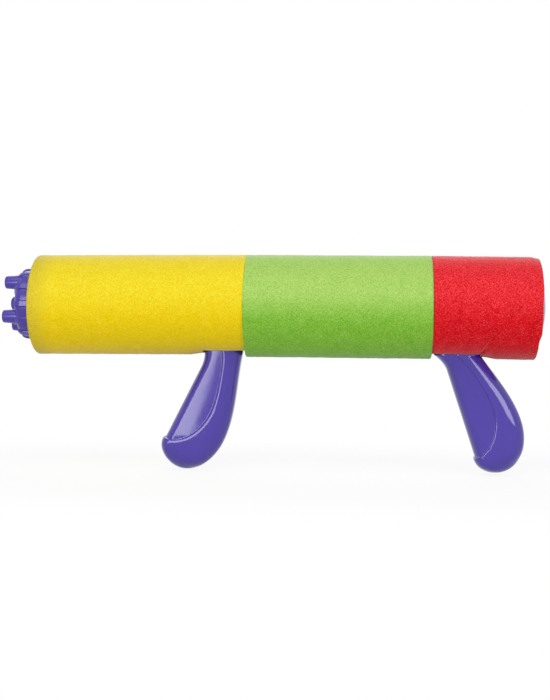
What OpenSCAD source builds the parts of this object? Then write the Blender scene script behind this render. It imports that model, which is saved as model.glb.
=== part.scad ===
// Hand-pumped water squirter: a barrel in foam sleeves, a plunger, two grips and a five-spout nozzle cap.
// The pump axis is X with the nozzle towards -X, Z is up, and the origin is on the axis
// at the middle of the middle foam sleeve. The plunger is drawn pushed fully home.

/* [Foam sleeves] */
// Length of the front sleeve
front_foam_length = 157; // [145:0.5:175]
// Outside diameter of the front sleeve
front_foam_d = 74.8; // [73:0.2:80]
// Length of the middle sleeve
middle_foam_length = 135.6; // [120:0.2:150]
// Outside diameter of the middle sleeve
middle_foam_d = 76.4; // [73:0.2:80]
// Length of the rear sleeve
rear_foam_length = 77; // [72:0.5:90]
// Outside diameter of the rear sleeve
rear_foam_d = 75.2; // [73:0.2:80]
// Gap at the seam between the front and middle sleeves
foam_seam = 0.3; // [0.1:0.1:0.6]
// Rounding of the front sleeve's mouth
foam_mouth_r = 2; // [1:0.1:4]
// Rounding of the other cut edges
foam_cut_r = 1.2; // [0.6:0.2:2]
// Room round a grip's stem in its foam notch
notch_room = 0.5; // [0.3:0.1:1]

/* [Barrel] */
// Outside diameter of the barrel
barrel_d = 50; // [49:0.5:51]
// Wall of the barrel
barrel_wall = 2; // [1.8:0.1:2.2]
// Length of the guide bush inside the barrel
bush_length = 16; // [12:0.5:22]
// Thickness of the bush's end flange
bush_flange = 3; // [2:0.5:4]
// Number of screws that hold the bush
bush_screws_count = 3; // [2:1:4]
// Shank diameter of a bush screw
bush_screw_d = 2.5; // [2:0.1:3]
// Head diameter of a bush screw
bush_screw_head_d = 5; // [4.5:0.1:5.5]
// Head height of a bush screw
bush_screw_head = 1.4; // [1.2:0.1:1.6]

/* [Nozzle cap] */
// Height of a rib above the cap's wall
cap_rib_height = 1.3; // [0.8:0.1:1.6]
// Width of a rib
cap_rib_width = 6.2; // [5:0.1:8]
// Number of ribs
cap_ribs = 12; // [8:1:16]
// Length of the cap ahead of its gasket
cap_length = 10.6; // [10:0.2:14]
// Rounding of the cap's front edge
cap_edge_r = 2.5; // [1.5:0.1:3.5]
// Thickness of the cap's front face
cap_face = 2.6; // [2:0.1:4]
// Length of the threaded spigot inside the barrel
spigot_length = 11; // [10.5:0.5:14]
// Wall of the spigot
spigot_wall = 1.8; // [1.5:0.1:1.9]
// Thickness of the gasket
gasket_thickness = 1.5; // [1:0.1:2]
// Pitch of the thread
thread_pitch = 4; // [3.8:0.1:4.4]
// Depth of the thread
thread_depth = 1; // [0.8:0.05:1.05]
// Turns of thread on each piece
thread_turns = 1.5; // [1.25:0.25:1.5]

/* [Spouts] */
// Number of spouts on the ring
ring_spouts = 4; // [3:1:6]
// Distance of the ring spouts' bores from the spigot's inner wall
spout_bore_room = 0.1; // [0.05:0.05:1]
// Outside diameter of a ring spout
ring_spout_d = 9.6; // [8:0.1:10]
// Length of a ring spout
ring_spout_length = 11.8; // [9:0.1:14]
// Rounding of a ring spout's tip
ring_tip_r = 1; // [0.5:0.1:1.6]
// Outside diameter of the centre spout
centre_spout_d = 11.4; // [9:0.1:12]
// Length of the centre spout
centre_spout_length = 9.2; // [7:0.1:12]
// Rounding of the centre spout's tip
centre_tip_r = 2.4; // [1:0.1:3]
// Bore of a spout
spout_bore = 2.8; // [2:0.1:3]
// Width of the shoulder round a spout's foot
spout_shoulder = 0.8; // [0.5:0.1:1.2]
// Turn of the spout ring away from straight up
spout_turn = 30; // [0:1:89]

/* [Plunger] */
// Room between the barrel's bore and the plunger tube
plunger_room = 3; // [2.7:0.1:4]
// Wall of the plunger tube
plunger_wall = 2; // [1.6:0.1:2.6]
// Length of the piston head
piston_length = 18; // [16:0.5:24]
// Length of the piston's spigot inside the plunger tube
piston_spigot = 14; // [11:0.5:20]
// Wall of the piston's spigot
piston_wall = 3; // [2.5:0.1:4]
// Cord diameter of a piston seal
seal_cord_d = 3.2; // [2.6:0.1:3.4]
// Distance of a seal from the piston's end
seal_margin = 4.6; // [4:0.1:5.4]
// Diameter of the cross pin that holds the piston
piston_pin_d = 3; // [2.5:0.1:4]
// Gap between the spigot and the piston pushed home
piston_gap = 1; // [0.6:0.1:3]
// Gap between the middle and rear sleeves pushed home
closing_gap = 0.6; // [0.4:0.1:1.5]

/* [Rear end] */
// Wall of the carrier under the rear sleeve
carrier_wall = 2.4; // [2:0.1:2.6]
// Length of the carrier's hub on the plunger tube
carrier_hub = 12; // [8:0.5:18]
// Thickness of the rear cap's flange
rear_cap_flange = 3; // [2:0.5:4]
// Height of the rear cap's dome behind the foam
rear_cap_dome = 5; // [3:0.2:9]
// Length of the rear cap's plug inside the carrier
rear_cap_plug = 8; // [6:0.5:12]
// Wall of the rear cap's plugs
rear_cap_wall = 2; // [1.6:0.1:2.4]

/* [Grips] */
// Depth of both heels below the pump axis
grip_reach = 121; // [116:0.5:126]
// Thickness of a grip across its rim
grip_thickness = 26; // [24:0.2:29]
// How far the rim stands proud of the side panels
grip_rim_step = 1.2; // [0.8:0.1:1.6]
// How far the finger stop stands out in front
grip_stop = 1.3; // [0.8:0.1:2]
// Height of the finger stop's front
grip_stop_height = 3.7; // [3:0.1:4.4]
// Depth of a grip from front to back at its widest
grip_depth = 40.8; // [38:0.2:46]
// Height of the widest place above the finger stop
grip_widest_height = 13.3; // [11:0.1:16]
// Depth of a grip from front to back at its neck
grip_neck_depth = 24.6; // [23:0.2:28]
// Height of the neck above the finger stop
grip_neck_height = 76; // [70:0.5:84]
// Narrowing of the back edge at the neck, in depth for height
grip_neck_slope = 0.28; // [0.2:0.01:0.36]
// Drop of the heel below the finger stop
grip_heel_drop = 18.7; // [16:0.1:22]
// Distance of the heel behind the front edge
grip_heel_offset = 17.8; // [15:0.1:21]
// Height over which the heel rounds in
grip_heel_round = 14; // [11:0.5:15]
// Rounding of a grip's long edges
grip_edge_r = 6.5; // [4:0.1:8]
// Wall of a grip half
grip_wall = 2.2; // [1.8:0.1:2.6]
// Depth of the side panel at its widest
panel_depth = 23.5; // [20:0.1:26]
// Depth of the side panel at the neck
panel_neck_depth = 11.1; // [8:0.1:14]
// Height of the side panel's widest place
panel_widest_height = 30.4; // [26:0.2:35]
// Drop of the side panel below the finger stop
panel_drop = 4.5; // [4.4:0.1:6]
// Forward lean of the front grip, from the neck down
front_grip_lean = 27.3; // [22:0.1:32]
// Backward lean of the rear grip, from the neck down
rear_grip_lean = 18.2; // [14:0.1:22]
// Length of the front grip's stem along the barrel
front_stem_length = 28.6; // [26:0.1:32]
// Distance of the front grip's stem from the foam seam
front_stem_setback = 2.6; // [1.5:0.1:4]
// Length of the rear grip's stem along the carrier
rear_stem_length = 33.6; // [31:0.1:36]
// Distance of the rear grip's stem behind the sleeve's front end
rear_stem_setback = 4.8; // [3:0.1:6]
// Flare of the front edge where the front grip meets its foam
front_grip_flare = 1.2; // [0.5:0.1:2]
// Flare of the front edge where the rear grip meets its foam
rear_grip_flare = 3.7; // [2:0.1:5]
// Height of a flare along the front edge
grip_flare_height = 9; // [6:0.5:12]
// Wall of the collar that clamps a grip to its tube
collar_wall = 3; // [2.6:0.1:3.4]
// How far a collar runs past its stem at each end
collar_margin = 1; // [0.5:0.1:1.5]
// Height of the key ring that stops a collar sliding
key_height = 1.2; // [0.8:0.1:1.4]
// Width of the key ring
key_width = 4; // [3:0.1:6]

/* [Grip screws] */
// Shank diameter of a grip screw
grip_screw_d = 3; // [2.6:0.1:3.5]
// Head diameter of a grip screw
grip_screw_head_d = 6; // [5.4:0.1:6.4]
// Head height of a grip screw
grip_screw_head = 2.2; // [1.8:0.1:2.6]
// Distance of the head's seat from the parting face
grip_screw_seat = 5; // [4:0.1:6]
// Wall of a boss round its hole
boss_wall = 1.6; // [1.3:0.1:2]

/* [Fits] */
// Gap between foam and the tube inside it
foam_fit = 0.15; // [0.1:0.05:0.3]
// Gap of a bonded or clamped joint
bond_fit = 0.05; // [0.03:0.01:0.1]
// Gap of the plunger tube in its bush
slide_fit = 0.15; // [0.1:0.01:0.25]
// Gap of the seals in the barrel
seal_fit = 0.05; // [0.03:0.01:0.1]
// Gap of the piston head in the barrel
piston_fit = 0.3; // [0.2:0.05:0.5]
// Gap between the two threads
thread_fit = 0.3; // [0.25:0.01:0.35]
// Gap round a screw head in its recess
head_fit = 0.3; // [0.2:0.05:0.5]

/* [Hidden] */
$fn = 96;
// Overrun of every cut past the face that it opens
cut = 1;
// Steps of a rounded edge, of a grip's edges and of one turn of thread
arc_steps = 6;
edge_steps = 4;
turn_steps = 36;
// Steps of a grip's heel, of its length and of its panel's border
heel_steps = 6;
length_steps = 9;
border_steps = 12;
// Angle at which a heel's rounding begins, which leaves a small flat
heel_first_angle = 10;
// Places of the screws on a grip, as shares of its widest depth and of its neck height
grip_screw_shares = [[0.44, 0.02], [0.36, 0.42], [0.36, 0.74]];
// Width of a thread's foot and crest, as shares of the pitch
thread_foot_share = 0.52;
thread_crest_share = 0.28;
// Start of the thread behind the barrel's front end, as a share of the pitch
thread_start_share = 0.4;
// Depth to which a thread's foot sinks into its wall, as a share of its depth
thread_sink_share = 0.3;
// Power by which the panel's border narrows towards the neck
border_power = 1.5;
// Height of the hollow inside a grip, as a share of the neck height
hollow_top_share = 0.86;

plastic = [0.34, 0.28, 0.66];
yellow_foam = [0.95, 0.86, 0.12];
green_foam = [0.55, 0.78, 0.30];
red_foam = [0.88, 0.15, 0.2];
pale_plastic = [0.93, 0.93, 0.95];
grey_plastic = [0.42, 0.42, 0.45];
dark_rubber = [0.12, 0.12, 0.13];
steel = [0.72, 0.73, 0.75];

// Places along the pump axis, from the nozzle to the rear
middle_front_x = -middle_foam_length / 2;
middle_rear_x = middle_foam_length / 2;
front_rear_x = middle_front_x - foam_seam;
front_front_x = front_rear_x - front_foam_length;
cap_rear_x = front_front_x - gasket_thickness;
cap_front_x = cap_rear_x - cap_length;
barrel_rear_x = middle_rear_x - bush_flange;
barrel_length = barrel_rear_x - front_front_x;
piston_front_x = front_front_x + spigot_length + piston_gap;
piston_rear_x = piston_front_x + piston_length;
rear_front_x = middle_rear_x + closing_gap;
rear_rear_x = rear_front_x + rear_foam_length;
carrier_rear_x = rear_rear_x - rear_cap_flange;
carrier_length = carrier_rear_x - rear_front_x;
plunger_rear_x = carrier_rear_x - bond_fit;

// Diameters that follow from the tubes and fits
bore_d = barrel_d - 2 * barrel_wall;
foam_bore = barrel_d + 2 * foam_fit;
thread_tip_r = bore_d / 2 - thread_depth;
spigot_r = thread_tip_r - thread_fit;
spigot_bore_r = spigot_r - spigot_wall;
spout_circle_r = spigot_bore_r - spout_bore_room - spout_bore / 2;
cap_wall_r = barrel_d / 2;
cap_d = barrel_d + 2 * cap_rib_height;
plunger_d = bore_d - 2 * plunger_room;
plunger_bore = plunger_d - 2 * plunger_wall;
piston_d = bore_d - 2 * piston_fit;
piston_spigot_d = plunger_bore - 2 * bond_fit;
seal_ring_r = bore_d / 2 - seal_fit - seal_cord_d / 2;
carrier_bore = barrel_d - 2 * carrier_wall;
collar_d = barrel_d + 2 * collar_wall;
pocket_d = collar_d + 2 * foam_fit;
collar_bore = barrel_d + 2 * bond_fit;

// Length of a bush screw, whose tip stays clear of the plunger tube
bush_screw_length = barrel_wall + plunger_room - slide_fit - 2 * bond_fit - bush_screw_head / 2;

// Stems and collars of the grips, as front and rear ends along the axis
front_stem_rear_x = front_rear_x - front_stem_setback;
front_stem_front_x = front_stem_rear_x - front_stem_length;
rear_stem_front_x = rear_front_x + rear_stem_setback;
rear_stem_rear_x = rear_stem_front_x + rear_stem_length;

// Place of each finger stop, worked out so that both heels reach the same depth
heel_rise = grip_widest_height + grip_heel_drop;
heel_back = grip_depth - grip_heel_offset;
front_heel_low = grip_widest_height * cos(front_grip_lean) - grip_heel_offset * sin(front_grip_lean)
    - norm([heel_rise * cos(front_grip_lean), heel_back * sin(front_grip_lean)]);
stop_rise = grip_heel_drop - grip_stop_height;
rear_heel_low = grip_heel_offset * sin(rear_grip_lean) - grip_stop_height * cos(rear_grip_lean)
    - norm([stop_rise * cos(rear_grip_lean), (grip_heel_offset + grip_stop) * sin(rear_grip_lean)]);
front_stop_z = -grip_reach - front_heel_low;
rear_stop_z = -grip_reach - rear_heel_low;
front_edge_x = front_stem_front_x + front_grip_flare;
rear_edge_x = rear_stem_front_x + rear_grip_flare;
front_stop_x = front_edge_x + (front_foam_d / 2 + front_stop_z) * tan(front_grip_lean);
rear_stop_x = rear_edge_x - (rear_foam_d / 2 + rear_stop_z) * tan(rear_grip_lean);

// Height of each grip's loft, so that its upper end is all inside the foam
front_grip_top = (-front_foam_d / 2 - front_stop_z + grip_neck_depth * sin(front_grip_lean) + cut)
    / cos(front_grip_lean);
rear_grip_top = (-rear_foam_d / 2 - rear_stop_z + cut) / cos(rear_grip_lean);

// Each grip as [finger stop x, finger stop z, lean, top, flare, stem front x, stem rear x, foam diameter]
front_grip = [front_stop_x, front_stop_z, front_grip_lean, front_grip_top, front_grip_flare,
    front_stem_front_x, front_stem_rear_x, front_foam_d];
rear_grip = [rear_stop_x, rear_stop_z, -rear_grip_lean, rear_grip_top, rear_grip_flare,
    rear_stem_front_x, rear_stem_rear_x, rear_foam_d];

// Half thickness of a grip at its rim, at its panels and of the hollow inside
rim_half = grip_thickness / 2;
panel_half = rim_half - grip_rim_step;
hollow_half = panel_half - grip_wall;
pilot_depth = hollow_half + grip_wall / 2;
grip_screw_length = grip_screw_seat + hollow_half;

// Points of an arc, as [across, along]
function arc(centre, r, from, to) =
    [for (i = [0:arc_steps]) centre + r * [cos(from + (to - from) * i / arc_steps),
        sin(from + (to - from) * i / arc_steps)]];

// A smooth run from one depth to another over a share s of a length, with the end's slope
function eased(s, from, to, slope, length) =
    from * (2 * s * s * s - 3 * s * s + 1) + to * (3 * s * s - 2 * s * s * s)
    + slope * length * (s * s * s - s * s);

// Depth of a grip's front edge at a height, for an edge that stands proud of the shank
function grip_front(height, proud) =
    height >= -grip_stop_height ? -proud
    : grip_heel_offset - (grip_heel_offset + proud)
        * sqrt(max(0, 1 - pow((height + grip_stop_height) / stop_rise, 2)));

// Forward flare of the front edge just below the foam
function grip_flare(height, top, flare) =
    flare * pow(max(0, (height - top + grip_flare_height) / grip_flare_height), 2);

// Depth of a grip's back edge at a height
function grip_back(height) =
    height <= grip_widest_height
    ? grip_heel_offset + heel_back * sqrt(max(0, 1 - pow((grip_widest_height - height) / heel_rise, 2)))
    : height <= grip_neck_height
    ? eased((height - grip_widest_height) / (grip_neck_height - grip_widest_height),
        grip_depth, grip_neck_depth, -grip_neck_slope, grip_neck_height - grip_widest_height)
    : grip_neck_depth - grip_neck_slope * (height - grip_neck_height);

// Half thickness of a grip at a height, rounded in at the heel
function grip_half(height, half, low) =
    height >= low + grip_heel_round ? half
    : half * sqrt(max(0, 1 - pow((low + grip_heel_round - height) / grip_heel_round, 2)));

// One section of a grip half: from the parting face at the front, round one side, to the back
function half_ring(front, back, half, r) =
    let (e = min(r, half, (back - front) / 2), angles = [for (i = [0:edge_steps]) 90 * i / edge_steps])
    concat([[front, 0]],
        [for (a = angles) [front + e - e * cos(a), -half + e - e * sin(a)]],
        [for (a = angles) [back - e + e * sin(a), -half + e - e * cos(a)]],
        [[back, 0]]);

// Heights of the sections of a grip that starts at a low end
function heel_heights(low) =
    [for (i = [0:heel_steps - 1])
        low + grip_heel_round * (1 - cos(heel_first_angle + (90 - heel_first_angle) * i / heel_steps))];
function length_heights(low, top) = [for (i = [0:length_steps]) low + (top - low) * i / length_steps];

// Turns a shape drawn along Z so that it runs along X from a place on the axis
module along_x(x) {
    translate([x, 0, 0]) rotate([0, 90, 0]) children();
}

// A plain tube along the pump axis
module pipe(x, length, outer_d, inner_d) {
    along_x(x) difference() {
        cylinder(h = length, d = outer_d);
        translate([0, 0, -cut]) cylinder(h = length + 2 * cut, d = inner_d);
    }
}

// A foam tube along the pump axis with a rounding at each end
module foam_tube(x, length, outer_d, front_r, rear_r) {
    outer_r = outer_d / 2;
    inner_r = foam_bore / 2;
    along_x(x) rotate_extrude() polygon(concat(
        [[inner_r, 0]],
        arc([outer_r - front_r, front_r], front_r, -90, 0),
        arc([outer_r - rear_r, length - rear_r], rear_r, 0, 90),
        [[inner_r, length]]));
}

// The space that a grip's collar and stem take out of a foam sleeve
module collar_space(front_x, rear_x, foam_d) {
    width = grip_thickness + 2 * notch_room;
    along_x(front_x) cylinder(h = rear_x - front_x, d = pocket_d);
    translate([front_x, -width / 2, -foam_d / 2 - cut])
        cube([rear_x - front_x, width, foam_d / 2 + cut]);
}

// A ridge wound round the axis: radii of its foot and crest, and where it starts
module thread_ridge(x, foot_r, crest_r) {
    steps = turn_steps * thread_turns;
    foot = thread_pitch * thread_foot_share / 2;
    crest = thread_pitch * thread_crest_share / 2;
    section = [[foot_r, -foot], [crest_r, -crest], [crest_r, crest], [foot_r, foot]];
    corners = len(section);
    outward = crest_r > foot_r;
    points = [for (i = [0:steps]) for (p = section) let (turn = i / turn_steps)
        [p[0] * cos(360 * turn), p[0] * sin(360 * turn), p[1] + thread_pitch * turn]];
    sides = [for (i = [0:steps - 1]) for (j = [0:corners - 1])
        let (a = i * corners + j, b = i * corners + (j + 1) % corners, c = b + corners, d = a + corners)
        each [[a, b, c], [a, c, d]]];
    ends = [[for (j = [corners - 1:-1:0]) j], [for (j = [0:corners - 1]) steps * corners + j]];
    faces = concat(sides, ends);
    along_x(x) polyhedron(points, outward ? faces : [for (f = faces) [for (k = [len(f) - 1:-1:0]) f[k]]]);
}

// Joins a stack of equal rings, given as [height, ring], into one solid
module loft(sections) {
    n = len(sections[0][1]);
    last = len(sections) - 1;
    points = [for (s = sections) for (p = s[1]) [p[0], p[1], s[0]]];
    sides = [for (i = [0:last - 1]) for (j = [0:n - 1])
        let (a = i * n + j, b = i * n + (j + 1) % n, c = b + n, d = a + n)
        each [[a, d, c], [a, c, b]]];
    polyhedron(points, concat(sides,
        [[for (j = [0:n - 1]) j]], [[for (j = [n - 1:-1:0]) last * n + j]]));
}

// Rim and heel of a grip half before the side panel is cut from it
module grip_body(top, flare) {
    low = -grip_heel_drop;
    heights = concat(heel_heights(low), length_heights(low + grip_heel_round, top));
    loft([for (h = heights) [h, half_ring(grip_front(h, grip_stop) - grip_flare(h, top, flare), grip_back(h),
        grip_half(h, rim_half, low), grip_edge_r)]]);
}

// Shank of a grip half, set in from the rim by the step round the panel
module grip_shank(top, flare) {
    low = -2 * grip_stop_height;
    loft([for (h = length_heights(low, top)) [h, half_ring(grip_front(h, 0) - grip_flare(h, top, flare),
        grip_back(h) - 2 * grip_rim_step, panel_half, grip_edge_r)]]);
}

// Hollow inside a grip half
module grip_hollow() {
    low = -grip_heel_drop + 2 * grip_wall;
    top = grip_neck_height * hollow_top_share;
    heights = concat(heel_heights(low), length_heights(low + grip_heel_round, top));
    loft([for (h = heights) [h, half_ring(max(grip_front(h, 0), 0) + grip_wall + grip_rim_step,
        grip_back(h) - grip_wall - grip_rim_step, grip_half(h, hollow_half, low), grip_edge_r)]]);
}

// Outline of the side panel, open well ahead of the grip: an elliptic sweep under it,
// and a border that narrows to the neck
module panel_outline(top) {
    rise = panel_widest_height + panel_drop;
    neck = grip_neck_height - panel_widest_height;
    ahead = -grip_depth;
    polygon(concat(
        [for (i = [0:border_steps]) let (a = 90 - 90 * i / border_steps)
            [-grip_stop + (panel_depth + grip_stop) * cos(a), panel_widest_height - rise * sin(a)]],
        [for (i = [1:border_steps]) let (h = (top + cut - panel_widest_height) * i / border_steps)
            [panel_depth - (panel_depth - panel_neck_depth) * pow(h / neck, border_power),
                panel_widest_height + h]],
        [[ahead, top + cut], [ahead, -panel_drop]]));
}

// Puts its children at each screw of a grip, in the grip's own frame, with Z across the grip
module at_grip_screws() {
    for (s = grip_screw_shares)
        translate([s[0] * grip_depth, 0, s[1] * grip_neck_height]) rotate([90, 0, 0]) children();
}

// Turns and moves a grip from its own frame, which starts at the finger stop, to its place
module place_grip(g) {
    translate([g[0], 0, g[1]]) rotate([0, g[2], 0]) children();
}

// Solid left half of a grip, with its collar and stem, before it is hollowed
module grip_half_solid(g) {
    stem_front_x = g[5];
    stem_rear_x = g[6];
    foam_r = g[7] / 2;
    collar_front_x = stem_front_x - collar_margin;
    collar_length = stem_rear_x - stem_front_x + 2 * collar_margin;
    place_grip(g) {
        grip_shank(g[3], g[4]);
        difference() {
            grip_body(g[3], g[4]);
            rotate([90, 0, 0]) translate([0, 0, -cut])
                linear_extrude(height = grip_thickness) panel_outline(g[3]);
        }
    }
    intersection() {
        union() {
            along_x(collar_front_x) cylinder(h = collar_length, d = collar_d);
            translate([stem_front_x + collar_margin, -panel_half + grip_rim_step, -foam_r])
                cube([stem_rear_x - stem_front_x - 2 * collar_margin, panel_half, foam_r]);
        }
        translate([collar_front_x - cut, -collar_d, -collar_d])
            cube([collar_length + 2 * cut, collar_d, 2 * collar_d]);
    }
}

// Bore of a collar, with the groove for the tube's key ring
module collar_bore_cut(g) {
    middle_x = (g[5] + g[6]) / 2;
    length = g[6] - g[5] + 2 * collar_margin + 2 * cut;
    along_x(middle_x - length / 2) cylinder(h = length, d = collar_bore);
    along_x(middle_x - key_width / 2 - bond_fit)
        cylinder(h = key_width + 2 * bond_fit, d = collar_bore + 2 * key_height);
}

// Key ring on a tube, in the middle of a grip's collar
module key_ring(g) {
    pipe((g[5] + g[6]) / 2 - key_width / 2, key_width, barrel_d + 2 * key_height,
        barrel_d - barrel_wall);
}

// Left half of a grip, with pilot bosses for the screws
module grip_left(g) {
    difference() {
        union() {
            difference() {
                grip_half_solid(g);
                place_grip(g) grip_hollow();
            }
            place_grip(g) at_grip_screws()
                cylinder(h = pilot_depth, d = grip_screw_d + 2 * bond_fit + 2 * boss_wall);
        }
        collar_bore_cut(g);
        place_grip(g) at_grip_screws()
            translate([0, 0, -cut])
                cylinder(h = hollow_half + bond_fit + cut, d = grip_screw_d + 2 * bond_fit);
    }
}

// Right half of a grip, with bosses that seat the screw heads
module grip_right(g) {
    recess_d = grip_screw_head_d + 2 * head_fit;
    mirror([0, 1, 0]) difference() {
        union() {
            difference() {
                grip_half_solid(g);
                place_grip(g) grip_hollow();
            }
            place_grip(g) at_grip_screws()
                cylinder(h = pilot_depth, d = recess_d + 2 * boss_wall);
        }
        collar_bore_cut(g);
        place_grip(g) at_grip_screws() {
            translate([0, 0, -cut]) cylinder(h = grip_thickness, d = grip_screw_d + 2 * head_fit);
            translate([0, 0, grip_screw_seat]) cylinder(h = grip_thickness, d = recess_d);
        }
    }
}

// Screws of a grip: each head sits in the right half and its shank ends in the left half
module grip_screws(g) {
    place_grip(g) at_grip_screws() {
        translate([0, 0, -grip_screw_seat]) cylinder(h = grip_screw_length, d = grip_screw_d);
        translate([0, 0, -grip_screw_seat - grip_screw_head]) difference() {
            cylinder(h = grip_screw_head, d = grip_screw_head_d);
            screw_cross(grip_screw_head_d / 2, grip_screw_head / 2);
        }
    }
}

// Cross recess in the top of a screw head, which lies at its Z start
module screw_cross(span, depth) {
    width = span / 4;
    translate([-span / 2, -width / 2, -cut]) cube([span, width, depth + cut]);
    translate([-width / 2, -span / 2, -cut]) cube([width, span, depth + cut]);
}

// Puts its children at each bush screw, with Z from the barrel's outside towards the axis
module at_bush_screws() {
    for (i = [0:bush_screws_count - 1])
        translate([barrel_rear_x - bush_length / 2, 0, 0]) rotate([360 * i / bush_screws_count, 0, 0])
            translate([0, 0, barrel_d / 2]) rotate([180, 0, 0]) children();
}

// Puts its children at the cross pin of the piston, along Y
module at_piston_pin() {
    translate([piston_rear_x + piston_spigot / 2, 0, 0]) rotate([90, 0, 0]) children();
}

// Piston seal as a ring of round cord
module piston_seal(x) {
    along_x(x) rotate_extrude() translate([seal_ring_r, 0]) circle(d = seal_cord_d);
}

// Groove for one piston seal
module seal_groove(x) {
    width = seal_cord_d + 2 * piston_fit;
    floor_d = 2 * (seal_ring_r - bond_fit) - seal_cord_d;
    pipe(x - width / 2, width, bore_d + cut, floor_d);
}

// Puts its children at each spout of the ring, with Z towards the front
module at_ring_spouts() {
    for (i = [0:ring_spouts - 1])
        rotate([spout_turn + 360 * i / ring_spouts, 0, 0]) translate([cap_front_x, 0, spout_circle_r])
            rotate([0, -90, 0]) children();
}

// Puts its children at the middle of the cap's face, with Z towards the front
module at_centre_spout() {
    translate([cap_front_x, 0, 0]) rotate([0, -90, 0]) children();
}

// One spout, rounded at its tip, with its foot seated in the cap's face up to a shoulder
module spout(length, outer_d, tip_r) {
    foot = cap_face / 2;
    foot_r = outer_d / 2 - spout_shoulder;
    translate([0, 0, -foot]) rotate_extrude() polygon(concat(
        [[spout_bore / 2, 0], [foot_r, 0], [foot_r, foot], [outer_d / 2, foot]],
        arc([outer_d / 2 - tip_r, foot + length - tip_r], tip_r, 0, 90),
        [[spout_bore / 2, foot + length]]));
}

// Seat of a spout in the cap's face, and the way on to the cap's inside
module spout_seat(outer_d) {
    translate([0, 0, -cap_face / 2]) cylinder(h = cap_face, d = outer_d - 2 * spout_shoulder + 2 * bond_fit);
    translate([0, 0, -cap_face - cut]) cylinder(h = cap_face / 2 + 2 * cut, d = spout_bore);
}

module barrel_tube() color(pale_plastic) {
    difference() {
        union() {
            pipe(front_front_x, barrel_length, barrel_d, bore_d);
            key_ring(front_grip);
        }
        at_bush_screws() {
            translate([0, 0, -cut]) cylinder(h = 2 * barrel_wall + cut, d = bush_screw_d + 2 * bond_fit);
            translate([0, 0, -cut])
                cylinder(h = bush_screw_head + bond_fit + cut, d = bush_screw_head_d + 2 * bond_fit);
        }
    }
    thread_ridge(front_front_x + thread_pitch * thread_start_share,
        bore_d / 2 + thread_depth * thread_sink_share, thread_tip_r);
}

module barrel_bush() color(pale_plastic) difference() {
    union() {
        along_x(barrel_rear_x - bush_length)
            cylinder(h = bush_length + bush_flange, d = bore_d - 2 * bond_fit);
        along_x(barrel_rear_x) cylinder(h = bush_flange, d = barrel_d);
    }
    along_x(barrel_rear_x - bush_length - cut)
        cylinder(h = bush_length + bush_flange + 2 * cut, d = plunger_d + 2 * slide_fit);
    at_bush_screws() translate([0, 0, barrel_wall])
        cylinder(h = bush_screw_length - barrel_wall + bond_fit, d = bush_screw_d + 2 * bond_fit);
}

module bush_screws() color(steel) at_bush_screws() {
    difference() {
        cylinder(h = bush_screw_head, d = bush_screw_head_d);
        screw_cross(bush_screw_head_d / 2, bush_screw_head / 2);
    }
    translate([0, 0, bush_screw_head])
        cylinder(h = bush_screw_length - bush_screw_head, d = bush_screw_d);
}

module front_foam() color(yellow_foam) difference() {
    foam_tube(front_front_x, front_foam_length, front_foam_d, foam_mouth_r, foam_cut_r);
    collar_space(front_stem_front_x - collar_margin - notch_room, front_rear_x + cut, front_foam_d);
}

module middle_foam() color(green_foam)
    foam_tube(middle_front_x, middle_foam_length, middle_foam_d, foam_cut_r, foam_cut_r);

module rear_foam() color(red_foam) difference() {
    foam_tube(rear_front_x, rear_foam_length, rear_foam_d, foam_cut_r, foam_cut_r);
    collar_space(rear_front_x - cut, rear_stem_rear_x + collar_margin + notch_room, rear_foam_d);
}

module front_grip_left() color(plastic) grip_left(front_grip);

module front_grip_right() color(plastic) grip_right(front_grip);

module front_grip_screws() color(steel) grip_screws(front_grip);

module nozzle_gasket() color(dark_rubber)
    pipe(cap_rear_x, gasket_thickness, barrel_d, bore_d);

module nozzle_cap() color(plastic) {
    difference() {
        union() {
            along_x(cap_front_x) rotate_extrude() polygon(concat(
                [[0, 0]],
                arc([cap_wall_r - cap_edge_r, cap_edge_r], cap_edge_r, -90, 0),
                [[cap_wall_r, cap_length], [0, cap_length]]));
            intersection() {
                along_x(cap_front_x + cap_edge_r) cylinder(h = cap_length - cap_edge_r, d = cap_d);
                for (i = [0:cap_ribs - 1])
                    rotate([360 * i / cap_ribs, 0, 0])
                        translate([cap_front_x, -cap_rib_width / 2, cap_wall_r - cap_rib_height])
                            cube([cap_length, cap_rib_width, cap_d / 2]);
            }
            along_x(cap_rear_x - cut) cylinder(h = gasket_thickness + spigot_length + cut, r = spigot_r);
        }
        along_x(cap_front_x + cap_face)
            cylinder(h = cap_length + gasket_thickness + spigot_length, r = spigot_bore_r);
        at_ring_spouts() spout_seat(ring_spout_d);
        at_centre_spout() spout_seat(centre_spout_d);
    }
    thread_ridge(front_front_x + thread_pitch * (thread_start_share + 1 / 2),
        spigot_r - thread_depth * thread_sink_share, spigot_r + thread_depth);
}

module nozzle_spouts() color(plastic) {
    at_ring_spouts() spout(ring_spout_length, ring_spout_d, ring_tip_r);
    at_centre_spout() spout(centre_spout_length, centre_spout_d, centre_tip_r);
}

module plunger_tube() color(pale_plastic) difference() {
    pipe(piston_rear_x, plunger_rear_x - piston_rear_x, plunger_d, plunger_bore);
    at_piston_pin() cylinder(h = plunger_d + 2 * cut, d = piston_pin_d + 2 * bond_fit, center = true);
}

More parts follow.
